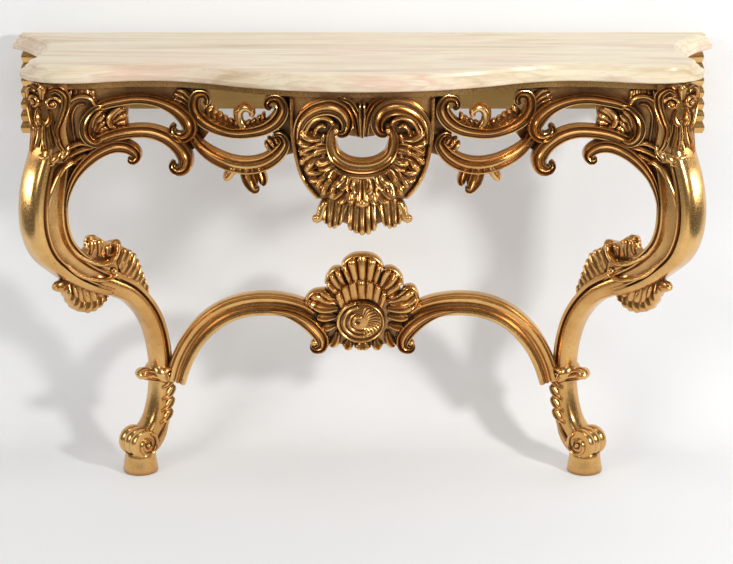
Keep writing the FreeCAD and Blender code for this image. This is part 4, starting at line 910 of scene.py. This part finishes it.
# Half sections: share of the half width outward, share of the half thickness aside
UPPER_SECTION = (
    (1.17, 0.00), (1.16, 0.45), (1.11, 0.80), (1.00, 1.02), (0.84, 1.12), (0.66, 1.12), (0.61, 1.02),
    (0.57, 0.90), (0.53, 1.02), (0.49, 1.16), (0.43, 1.20), (0.36, 1.12), (0.31, 0.94), (0.24, 0.84),
    (0.00, 0.80), (-0.32, 0.84), (-0.40, 0.96), (-0.46, 1.12), (-0.54, 1.16), (-0.61, 1.08), (-0.66, 0.88),
    (-0.71, 0.84), (-0.78, 1.00), (-0.88, 1.02), (-0.98, 0.80), (-1.04, 0.50), (-1.04, 0.00),
)
LOWER_SECTION = (
    (1.06, 0.00), (1.04, 0.40), (0.97, 0.72), (0.82, 0.95), (0.58, 1.06), (0.22, 1.10), (-0.08, 1.08),
    (-0.24, 1.02), (-0.32, 0.80), (-0.38, 0.68), (-0.44, 0.80), (-0.52, 1.02), (-0.68, 1.08), (-0.86, 0.98),
    (-0.98, 0.60), (-1.0, 0.0),
)
UPPER_END_SHARE = 0.52
LOWER_START_SHARE = 0.40
LEG_STEP = 4.0
LEAST_EASE = 0.01


def leg_curve():
    """Rows along the leg, the outward direction at each, and how far along each is."""
    curve, pace = dense(LEG_ROWS, LEG_STEP)
    return curve, sideways(curve), pace / pace[-1]


def on_leg(share):
    """Place on the middle line of the leg, by share of its length, and the half thickness there."""
    curve, outer, shares = leg_curve()
    reach, height, width, thick = (np.interp(share, shares, column) for column in curve.T)
    return reach, height, thick / 2


def leg_scroll(carving, section, first, last, narrow_share):
    """Part of the leg swept with one section; an end inside the leg is drawn in."""
    curve, outer, share = leg_curve()
    ring = np.array(list(section) + [(out, -side) for out, side in reversed(section[1:-1])])
    out, side = ring.T
    rings = []
    for (reach, height, width, thick), way, place in zip(curve, outer, share):
        if first <= place <= last:
            start = (place - first) / narrow_share if first > 0 else 1
            end = (last - place) / narrow_share if last < 1 else 1
            ease = math.sqrt(max(1 - (1 - min(1, start, end)) ** 2, LEAST_EASE))
            rings.append(leg_space(
                reach + way[0] * out * width / 2 * ease,
                side * thick / 2 * ease,
                height + way[1] * out * width / 2 * ease,
            ))
    carving.skin(rings)


# Raised edges that leave the leg: the upper curl, the inner edge that turns up and the lower curl
LEG_BEADS = (
    ((226, 604, 5, 6, 30), (221, 629, 8, 8, 32), (213, 647, 9, 9, 33), (201, 666, 11, 10, 34),
     (187, 680, 12, 11, 34), (170, 686, 12, 12, 34), (159, 680, 10, 11, 33), (161, 671, 7, 9, 33)),
    ((178, 520, 8, 7, 28), (160, 498, 9, 8, 28), (132, 479, 10, 9, 27), (102, 467, 11, 10, 26),
     (76, 468, 11, 10, 24), (60, 482, 10, 10, 20), (56, 496, 8, 9, 16)),
    ((190, 486, 8, 6, 28), (158, 456, 9, 7, 28), (122, 440, 10, 8, 27), (92, 434, 10, 9, 26),
     (70, 440, 9, 9, 25), (68, 452, 7, 8, 25)),
)
HEEL = ((-54, 124, 26, 19), (-51, 96, 28, 20), (-42, 70, 28, 21), (-24, 50, 26, 21), (-2, 42, 20, 20))
# Spiral of the toe, and the buds in its eye and in the lower curl
TOE_SPIRAL = ((2, 63, 110, 1.55, 26, 6, 10, 13, 22),)
LEG_BUDS = ((72, 447, 9, 9, 26), (2, 63, 6, 9, 27))
# Post behind the knee carving: reach of its back and front, half thickness, foot and head
POST_BACK, POST_FRONT, POST_HALF = 168, 206, 29
POST_LEVELS = (690.0, FRAME_TOP - 0.3)
# Roll of the toe, and the least and the rib's part of its radius
TOE = (6, 65)
TOE_RADIUS, TOE_HALF_LENGTH, TOE_STEPS = 29, 28, 37
TOE_LEAST, TOE_RIB = 0.94, 0.13
TOE_RIBS, TOE_POWER = 1.5, 0.7


def carve_leg():
    carving = Carving()
    leg_scroll(carving, UPPER_SECTION, 0.0, UPPER_END_SHARE, narrow_share=0.06)
    leg_scroll(carving, LOWER_SECTION, LOWER_START_SHARE, 1.0, narrow_share=0.05)
    reach = np.array([POST_BACK, POST_BACK, POST_FRONT, POST_FRONT])
    aside = np.array([-POST_HALF, POST_HALF, POST_HALF, -POST_HALF])
    carving.skin([leg_space(reach, aside, np.full(len(reach), level)) for level in POST_LEVELS])
    for hand in (1, -1):
        side = on_leg_side(hand)
        carving.strokes(side, (*LEG_BEADS, HEEL), ROUND)
        carving.volutes(side, TOE_SPIRAL)
        carving.buds(side, LEG_BUDS)
    # roll of the toe with leaf ribs across it
    rings = []
    for aside in np.linspace(-TOE_HALF_LENGTH, TOE_HALF_LENGTH, TOE_STEPS):
        wave = abs(math.sin(TOE_RIBS * math.pi * (aside / TOE_HALF_LENGTH + 1)))
        swell = TOE_RADIUS * (TOE_LEAST + TOE_RIB * wave ** TOE_POWER)
        rings.append(ring_on(on_leg_side(1), *TOE, swell, aside, ROUND_SIDES))
    carving.skin(rings)
    finish_pair("leg", carving)


# Leaf over the joint of the two scrolls, in the plane of the leg
WING_BOARD = (
    (128, 488), (117, 500), (116, 512), (108, 519), (96, 519), (86, 511), (76, 504), (64, 500), (52, 500),
    (42, 495), (36, 486), (44, 446), (72, 438), (102, 448),
)
WING_FOLDS = (
    ((118, 484), (110, 514), 16, 9, 0.12, 8, -2),
    ((98, 476), (94, 514), 18, 9, 0.12, 8, -2),
    ((78, 472), (74, 500), 18, 9, 0.12, 8, -2),
    ((60, 472), (50, 496), 16, 9, 0.12, 8, -2),
)
WING_ROOTS = ((52, 458), (46, 440), (36, 426), (22, 412), (6, 396), (-6, 382), (-14, 370))
WING_TIPS = ((38, 487), (22, 481), (9, 471), (0, 457), (-7, 440), (-14, 422), (-20, 404), (-26, 386))
HANGING_ROOTS = ((180, 444), (154, 436), (130, 434), (106, 427), (86, 418), (72, 408))
HANGING_TIPS = (
    (174, 414), (166, 396), (157, 382), (144, 373), (126, 367), (112, 367), (98, 371), (88, 379), (78, 388),
)
HANGING_UPPER_ROOTS = ((166, 442), (140, 438), (112, 432), (94, 424))
HANGING_UPPER_TIPS = ((164, 414), (146, 396), (122, 390), (100, 396), (90, 404))
# Knobs: middle and radii in the frame of the leg, and ribs
WING_KNOBS = (((106, 0, 513), (13, 13, 10), 5), ((48, 0, 494), (12, 12, 9), 5))
HANGING_KNOB = ((183, 0, 432), (18, 13, 10), 6)


def carve_leaves():
    wing = Carving()
    hanging = Carving()
    wing.plate(on_leg_side(1), WING_BOARD, lift=10, thickness=20)
    for hand in (1, -1):
        side = on_leg_side(hand)
        wing.lobes(side, WING_FOLDS)
        wing.ruffle(
            side, WING_ROOTS, WING_TIPS, flutes=8, depth=7, lift=10, rise=-3, twist=0.4, base=10
        )
        hanging.ruffle(
            side, HANGING_ROOTS, HANGING_TIPS, flutes=8, depth=8, lift=8, rise=2, twist=0.6
        )
        hanging.ruffle(
            side, HANGING_UPPER_ROOTS, HANGING_UPPER_TIPS, flutes=5, depth=7, lift=14, rise=2, twist=-0.5
        )
    for knob in WING_KNOBS:
        wing.bulb(*knob)
    hanging.bulb(*HANGING_KNOB, depth=0.14)
    finish_pair("scroll_leaf", wing)
    finish_pair("hanging_leaf", hanging)


# Ankle collar: height and how far it stands out, then its beak
COLLAR_STEPS = ((182, 1), (186, 5), (193, 9), (202, 10), (210, 8), (216, 3), (219, 0))
COLLAR_BEAK = ((-46, 196, 22, 14, 12), (-28, 202, 24, 13, 9), (-12, 207, 22, 10, 5), (-2, 209, 16, 7, 3))
COLLAR_REACH = -56
COLLAR_HALF_WIDTH, COLLAR_HALF_THICKNESS = 19, 21
COLLAR_SQUARE, COLLAR_TILT = 0.7, 7
COLLAR_SIDES = 40
COLLAR_SPIRAL = ((-58, 202, 20, 1.3, 15, 3, 10, 8, 27),)
COLLAR_FOLD = (((-44, 206), (-74, 192), 14, 9, 0.2, 26, 2),)
BEAK_KNOB = ((-12, 0, 208), (16, 17, 12), 8)
# Leaves that climb the side of the ankle: how many, where on the leg, ends, width with height and bend
ROPE_LOBES = 5
ROPE_START, ROPE_STEP = 0.806, 0.032
ROPE_LOW, ROPE_HIGH = (15, -17), (-17, 11)
ROPE_FORM = (20, 9, 0.2)
ROPE_SINK, ROPE_RISE = 1, 2


def squared(wave):
    """Rounds a circle's cosine or sine out toward a square."""
    return np.sign(wave) * np.abs(wave) ** COLLAR_SQUARE


def carve_ankle():
    carving = Carving()
    turn = round_angles(COLLAR_SIDES)
    rings = []
    for level, grow in COLLAR_STEPS:
        rings.append(leg_space(
            COLLAR_REACH + (COLLAR_HALF_WIDTH + grow) * squared(np.cos(turn)),
            (COLLAR_HALF_THICKNESS + grow) * squared(np.sin(turn)),
            level + COLLAR_TILT * np.cos(turn),
        ))
    carving.skin(rings)
    carving.bulb(*BEAK_KNOB)
    for hand in (1, -1):
        side = on_leg_side(hand)
        carving.stroke(side, COLLAR_BEAK, TRIPLE)
        carving.volutes(side, COLLAR_SPIRAL)
        carving.lobes(side, COLLAR_FOLD)
        for k in range(ROPE_LOBES):
            reach, height, face = on_leg(ROPE_START + ROPE_STEP * k)
            start, end = ((reach + out, height + up) for out, up in (ROPE_LOW, ROPE_HIGH))
            carving.lobes(side, [(start, end, *ROPE_FORM, face - ROPE_SINK, ROPE_RISE)])
    finish_pair("ankle_leaf", carving)


# Knee cartouche on the round face of the post. Its sides are drawn on the right and mirrored.
KNEE_MIDDLE = 20
KNEE_BOARD = (
    (-42, 843), (46, 843), (46, 800), (40, 756), (44, 712), (32, 690), (-32, 690), (-44, 712), (-38, 756),
    (-42, 800),
)
KNEE_HEM = (
    ((-70, 722), (-30, 706), (0, 704), (26, 712), (44, 724)),
    ((-80, 704), (-58, 686), (-34, 676), (-14, 682), (4, 688), (22, 694), (40, 706)),
)
KNEE_SCROLLS = (
    ((10, 828, 10, 10), (24, 835, 13, 13), (37, 824, 16, 15), (38, 803, 16, 15), (31, 778, 14, 13),
     (24, 754, 13, 12), (28, 728, 13, 12), (36, 708, 12, 11), (28, 694, 10, 10)),
)
KNEE_SPIRALS = ((18, 807, 0, 1.4, 14, 3, 9, 10, 3), (11, 694, 90, 1.3, 11, 2, 8, 9, 5))
KNEE_BUDS = ((18, 807, 5, 8, 8),)
KNEE_LOBES = (
    ((9, 796), (4, 762), 12, 10, 0.2, 2, 3),
    ((4, 776), (5, 712), 11, 9, -0.08, 1, 3),
    ((11, 776), (16, 718), 11, 9, -0.08, 1, 3),
    ((17, 776), (27, 732), 11, 9, -0.08, 1, 3),
)
KNEE_CREST = (((0, 812), (0, 842), 18, 11, 0, 3, 2),)
KNEE_FOOT_BUD = ((0, 700, 8, 9, 6),)


def carve_knee():
    carving = Carving()

    def place(across, height, lift):
        return on_wrap(across + KNEE_MIDDLE, height, lift)

    carving.plate(place, KNEE_BOARD, lift=1, thickness=8)
    for hand in (1, -1):
        carving.strokes(place, KNEE_SCROLLS, TRIPLE, hand)
        carving.volutes(place, KNEE_SPIRALS, hand)
        carving.buds(place, KNEE_BUDS, hand)
        carving.lobes(place, KNEE_LOBES, hand)
    carving.ruffle(place, *KNEE_HEM, flutes=7, depth=5, lift=6, rise=3)
    carving.lobes(place, KNEE_CREST)
    carving.buds(place, KNEE_FOOT_BUD)
    finish_pair("knee_carving", carving)


# Feet: radius and height up the turned block
FOOT_STEPS = (
    (31, 0), (35, 1.2), (36, 4), (35.8, 9), (34.6, 17), (33, 26), (31.8, 34), (31.2, 41), (30, 43),
    (10, 43.5),
)


def carve_feet():
    carving = Carving()
    carving.skin([ring_on(leg_space, 0, 0, radius, level, ROUND_SIDES) for radius, level in FOOT_STEPS])
    finish_pair("foot", carving)


# Blocks at the wall, with reeds round them
REEDS = 7
REED_DEPTH = 4.0
REED_STEPS = 12
STILE_TAPER = 7.0


def carve_stiles():
    low, high = (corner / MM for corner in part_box("rear_stile_left"))
    carving = Carving()
    rings = []
    for share in np.linspace(0, 1, REEDS * REED_STEPS + 1):
        inset = REED_DEPTH * (1 - abs(math.sin(math.pi * REEDS * share))) + STILE_TAPER * share
        left, front = low.x + inset, low.y + inset
        corners = ((left, front), (high.x, front), (high.x, high.y), (left, high.y))
        rings.append(np.array([(x, y, low.z + (high.z - low.z) * share) for x, y in corners]))
    carving.skin(rings)
    finish_pair("rear_stile", carving)


ARM_BUDS = ((-98, 274, 8, 9, 18),)
# Arms of the stretcher: across, up, width and depth, then their section
ARM_ROWS = (
    (-383, 186, 42, 16), (-371, 226, 45, 16), (-350, 268, 46, 16), (-322, 303, 47, 16), (-285, 331, 47, 16),
    (-243, 347, 47, 16), (-203, 352, 47, 16), (-160, 349, 46, 16), (-126, 339, 45, 16), (-104, 326, 42, 15),
)
ARM_SECTION = (
    (-1.00, 0.30), (-0.97, 0.72), (-0.88, 0.96), (-0.72, 1.02), (-0.54, 0.92), (-0.46, 0.66), (-0.38, 0.62),
    (-0.32, 0.80), (-0.22, 0.90), (-0.12, 0.80), (-0.06, 0.58), (0.08, 0.54), (0.22, 0.72), (0.40, 0.94),
    (0.58, 0.96), (0.72, 0.80), (0.78, 0.62), (0.86, 0.64), (0.95, 0.52), (1.00, 0.20), (0.98, -1.0),
    (-0.98, -1.0),
)
ARM_CURL = (
    (-190, 340, 10, 12, 5), (-154, 336, 20, 14, 7), (-124, 324, 28, 16, 9), (-98, 304, 32, 18, 10),
    (-82, 281, 30, 19, 10), (-83, 264, 22, 18, 10), (-97, 259, 15, 16, 10), (-106, 268, 10, 14, 10),
)


def carve_arms():
    carving = Carving()
    carving.stroke(on_stretcher, ARM_ROWS, ARM_SECTION, round_ends=(False, False))
    carving.stroke(on_stretcher, ARM_CURL, TRIPLE)
    carving.buds(on_stretcher, ARM_BUDS)
    finish_pair("stretcher_arm", carving)


# Cartouche of the stretcher
BOSS_MIDDLE = np.array([-3, 318])
BOSS_RADIUS = 49
BOSS_SQUASH = 0.88
# Left half of the board, from the top down
CARTOUCHE_BOARD = (
    (0, 436), (-30, 426), (-58, 400), (-92, 368), (-116, 350), (-102, 318), (-76, 290), (-58, 268), (0, 262),
)
CARTOUCHE_BOW = 0.2
# Leaves of the cartouche: roots, tips, flutes, depth, lift and twist
CARTOUCHE_LEAVES = (
    # outer left and outer right
    (((-62, 330), (-58, 346), (-46, 362)), ((-110, 346), (-113, 361), (-100, 377), (-72, 382)),
     3, 12, 8, 0.5),
    (((46, 364), (58, 348), (62, 328)), ((80, 385), (100, 389), (108, 377), (110, 360), (102, 338)),
     4, 12, 8, -0.5),
    # left and right
    (((-54, 366), (-44, 378), (-28, 386)), ((-73, 394), (-69, 412), (-57, 427), (-42, 427)), 3, 13, 10, 0.4),
    (((28, 386), (44, 378), (54, 366)), ((42, 427), (60, 428), (76, 412), (79, 392)), 3, 13, 10, -0.4),
    # top
    (((-28, 392), (0, 388), (28, 392)), ((-41, 424), (-35, 443), (-18, 455), (0, 457), (20, 454), (35, 442),
     (39, 426)), 5, 12, 12, 0.0),
    # fan over the boss
    (((-44, 344), (-24, 362), (0, 366), (24, 362), (40, 344)), ((-58, 374), (-34, 398), (0, 408), (32, 398),
     (52, 374)), 7, 11, 14, 0.0),
)
# Rolled rims of the leaves: width, height and how far they sink
RIM_WIDTH, RIM_HEIGHT, RIM_SINK = 10, 12, 4
# Folds beside the boss, and the lip under it
CARTOUCHE_FOLDS = (
    ((48, 346), (100, 352), 22, 13, -0.12, 9, 4),
    ((50, 330), (94, 330), 20, 13, -0.12, 9, 4),
    ((52, 312), (84, 306), 20, 13, -0.12, 9, 4),
    ((50, 298), (66, 264), 22, 13, -0.12, 9, 4),
    ((28, 282), (36, 258), 24, 13, -0.12, 9, 4),
)
CARTOUCHE_LIP = (((0, 280), (0, 256), 34, 15, 0, 11, 4),)
# Dome of the boss: rings, foot, rise and radius of its flat tip
DOME_RINGS, DOME_FOOT, DOME_RISE, DOME_TIP = 8, 14, 12, 0.5
# Lines of the comma
BOSS_LINES = (
    (0, 0, 100, 1.0, 47, 45, 10, 8, 19),
    (0, 0, 95, 0.62, 38, 30, 11, 9, 22),
    (0, 0, 120, 0.5, 26, 20, 9, 8, 25),
    (-6, 4, 40, 0.8, 13, 5, 12, 8, 27),
)
# Rays of the boss: how many, first angle and step in degrees, near and far reach, form as a lobe
BOSS_RAYS, RAY_START, RAY_STEP = 13, -84, 13
RAY_NEAR, RAY_FAR = 10, 40
RAY_FORM = (7, 6, 0.12, 22, -2)


def on_boss(across, height, lift):
    return on_stretcher(BOSS_MIDDLE[0] + across, BOSS_MIDDLE[1] + BOSS_SQUASH * height, lift)


def carve_cartouche():
    carving = Carving()
    carving.plate(on_stretcher, whole(CARTOUCHE_BOARD)[:-1], lift=6, thickness=22)
    for roots, tips, flutes, depth, lift, twist in CARTOUCHE_LEAVES:
        bow = CARTOUCHE_BOW * twist
        carving.ruffle(
            on_stretcher, roots, tips, flutes, depth, lift, rise=3, twist=twist, base=10, bow=bow
        )
    for roots, tips, flutes, depth, lift, twist in CARTOUCHE_LEAVES[:-1]:
        rim = [(x, z, RIM_WIDTH, RIM_HEIGHT, lift - RIM_SINK) for x, z in tips]
        carving.stroke(on_stretcher, rim, ROUND)
    # boss with a comma and rays
    dome = []
    for k in range(DOME_RINGS + 1):
        rise = math.pi / 2 * k / DOME_RINGS
        reach = BOSS_RADIUS * math.cos(rise) + DOME_TIP
        level = DOME_FOOT + DOME_RISE * math.sin(rise)
        dome.append(ring_on(on_boss, 0, 0, reach, level, ROUND_SIDES))
    carving.skin(dome)
    carving.volutes(on_boss, BOSS_LINES)
    for k in range(BOSS_RAYS):
        turn = math.radians(RAY_START + RAY_STEP * k)
        way = np.array([math.cos(turn), math.sin(turn)])
        carving.lobes(on_boss, [(way * RAY_NEAR, way * RAY_FAR, *RAY_FORM)], profile=ROUND)
    for hand in (1, -1):
        carving.lobes(on_stretcher, CARTOUCHE_FOLDS, hand)
    carving.lobes(on_stretcher, CARTOUCHE_LIP)
    finish_piece("stretcher_cartouche", carving)


carve_fret()
carve_shell()
carve_pendant()
carve_leg()
carve_leaves()
carve_ankle()
carve_knee()
carve_feet()
carve_stiles()
carve_arms()
carve_cartouche()

# Stage: pale floor that sweeps up behind the table
STAGE_FRONT, STAGE_SIDE, STAGE_TOP = 3.0, 1.6, 3.0
SWEEP_START = 0.12
SWEEP_RADIUS = 0.14
SWEEP_STEPS = 12
ROOM_LIGHT = 0.15
# How much of the white paper is seen without its shadows
PAPER_WHITE = 0.25
# Paper by height in metres, with painted shade in the band behind the table
PAPER, PAPER_WITH_PAINTED_SHADE = (0.93, 0.95, 0.97), (0.88, 0.90, 0.92)
PAPER_TONES = ((0.08, PAPER), (0.35, PAPER_WITH_PAINTED_SHADE), (0.65, PAPER_WITH_PAINTED_SHADE), (0.95, PAPER))


def plain_stage():
    look = Look("pale_backdrop")
    # painted shade: the paper is a little greyer behind the table, where the table's shadow falls on the
    # wall, than on the floor and high up
    place = look.node("ShaderNodeTexCoord").outputs["Object"]
    height = look.node("ShaderNodeSeparateXYZ", Vector=place).outputs["Z"]
    material = look.finish(Base_Color=look.ramp(height, PAPER_TONES), Roughness=0.9)
    rays = look.node("ShaderNodeLightPath").outputs
    seen = look.plus(rays["Is Camera Ray"], rays["Is Glossy Ray"])
    seen = look.times(look.plus(seen, rays["Is Transmission Ray"]), PAPER_WHITE)
    white = look.node("ShaderNodeEmission", Strength=1.0).outputs["Emission"]
    paper = look.mix_shaders(seen, look.shader.outputs["BSDF"], white)
    # the sweep is clear from behind, so that the back of the table can be looked at
    behind = look.node("ShaderNodeNewGeometry").outputs["Backfacing"]
    clear = look.node("ShaderNodeBsdfTransparent").outputs["BSDF"]
    output = look.tree.nodes["Material Output"]
    look.feed(output.inputs["Surface"], look.mix_shaders(behind, paper, clear))
    rows = [(-STAGE_FRONT, 0.0)]
    for k in range(SWEEP_STEPS + 1):
        turn = math.pi / 2 * k / SWEEP_STEPS
        rows.append((SWEEP_START + SWEEP_RADIUS * math.sin(turn), SWEEP_RADIUS * (1 - math.cos(turn))))
    rows.append((SWEEP_START + SWEEP_RADIUS, STAGE_TOP))
    points = [(side, y, z) for y, z in rows for side in (-STAGE_SIDE, STAGE_SIDE)]
    faces = [(2 * k, 2 * k + 1, 2 * k + 3, 2 * k + 2) for k in range(len(rows) - 1)]
    mesh = bpy.data.meshes.new("backdrop")
    mesh.from_pydata(points, [], faces)
    mesh.shade_smooth()
    mesh.materials.append(material)
    in_scene("backdrop", mesh)


def soft_light(name, place, aim, size, watts, colour, spread=180):
    """Rectangular lamp that the camera doesn't see."""
    data = bpy.data.lights.new(name, "AREA")
    data.shape = "RECTANGLE"
    data.size, data.size_y = size
    data.energy = watts
    data.color = colour
    data.spread = math.radians(spread)
    light = in_scene(name, data)
    light.location = place
    light.rotation_euler = (Vector(aim) - Vector(place)).to_track_quat("-Z", "Y").to_euler()
    light.visible_camera = False


def grey_world():
    world = bpy.data.worlds.new("grey_room")
    bpy.context.scene.world = world
    world.use_nodes = True
    sky = world.node_tree.nodes["Background"]
    sky.inputs["Color"].default_value = (1, 1, 1, 1)
    sky.inputs["Strength"].default_value = ROOM_LIGHT


plain_stage()
grey_world()
# Lamps: name, place, aim, size, watts, colour and, where it is narrow, spread in degrees
BOX_WHITE = (1.0, 0.98, 0.95)
BOX_AIM = (0, 0.1, 0.5)
soft_light("right_box", (2.5, -2.45, 1.8), BOX_AIM, (0.35, 0.35), 80, BOX_WHITE)
soft_light("left_box", (-2.5, -2.6, 2.1), BOX_AIM, (1.3, 1.3), 36, BOX_WHITE)
for hand in (-1, 1):
    place, aim = (hand * 2.2, 0.1, 0.77), (hand * 0.6, 0, 0.68)
    soft_light(f"side_box_{hand}", place, aim, (0.8, 0.32), 0.36, (1.0, 0.99, 0.97), 30)
soft_light("top_box", (0.2, -0.8, 3.2), (0, 0, 0.4), (1.4, 1.4), 18, (1.0, 1.0, 1.0))

# Camera fitted to the photograph, in metres, degrees below level and millimetres
CAMERA_PLACE = (0.008, -4.572, 1.755)
CAMERA_PITCH = 16.37
CAMERA_SENSOR, CAMERA_LENS = 36.0, 116.8
camera_data = bpy.data.cameras.new("camera")
camera_data.sensor_width = CAMERA_SENSOR
camera_data.lens = CAMERA_LENS
camera = in_scene("camera", camera_data)
camera.location = CAMERA_PLACE
camera.rotation_euler = (math.radians(90 - CAMERA_PITCH), 0, 0)
bpy.context.scene.camera = camera
bpy.context.scene.view_settings.view_transform = "Standard"
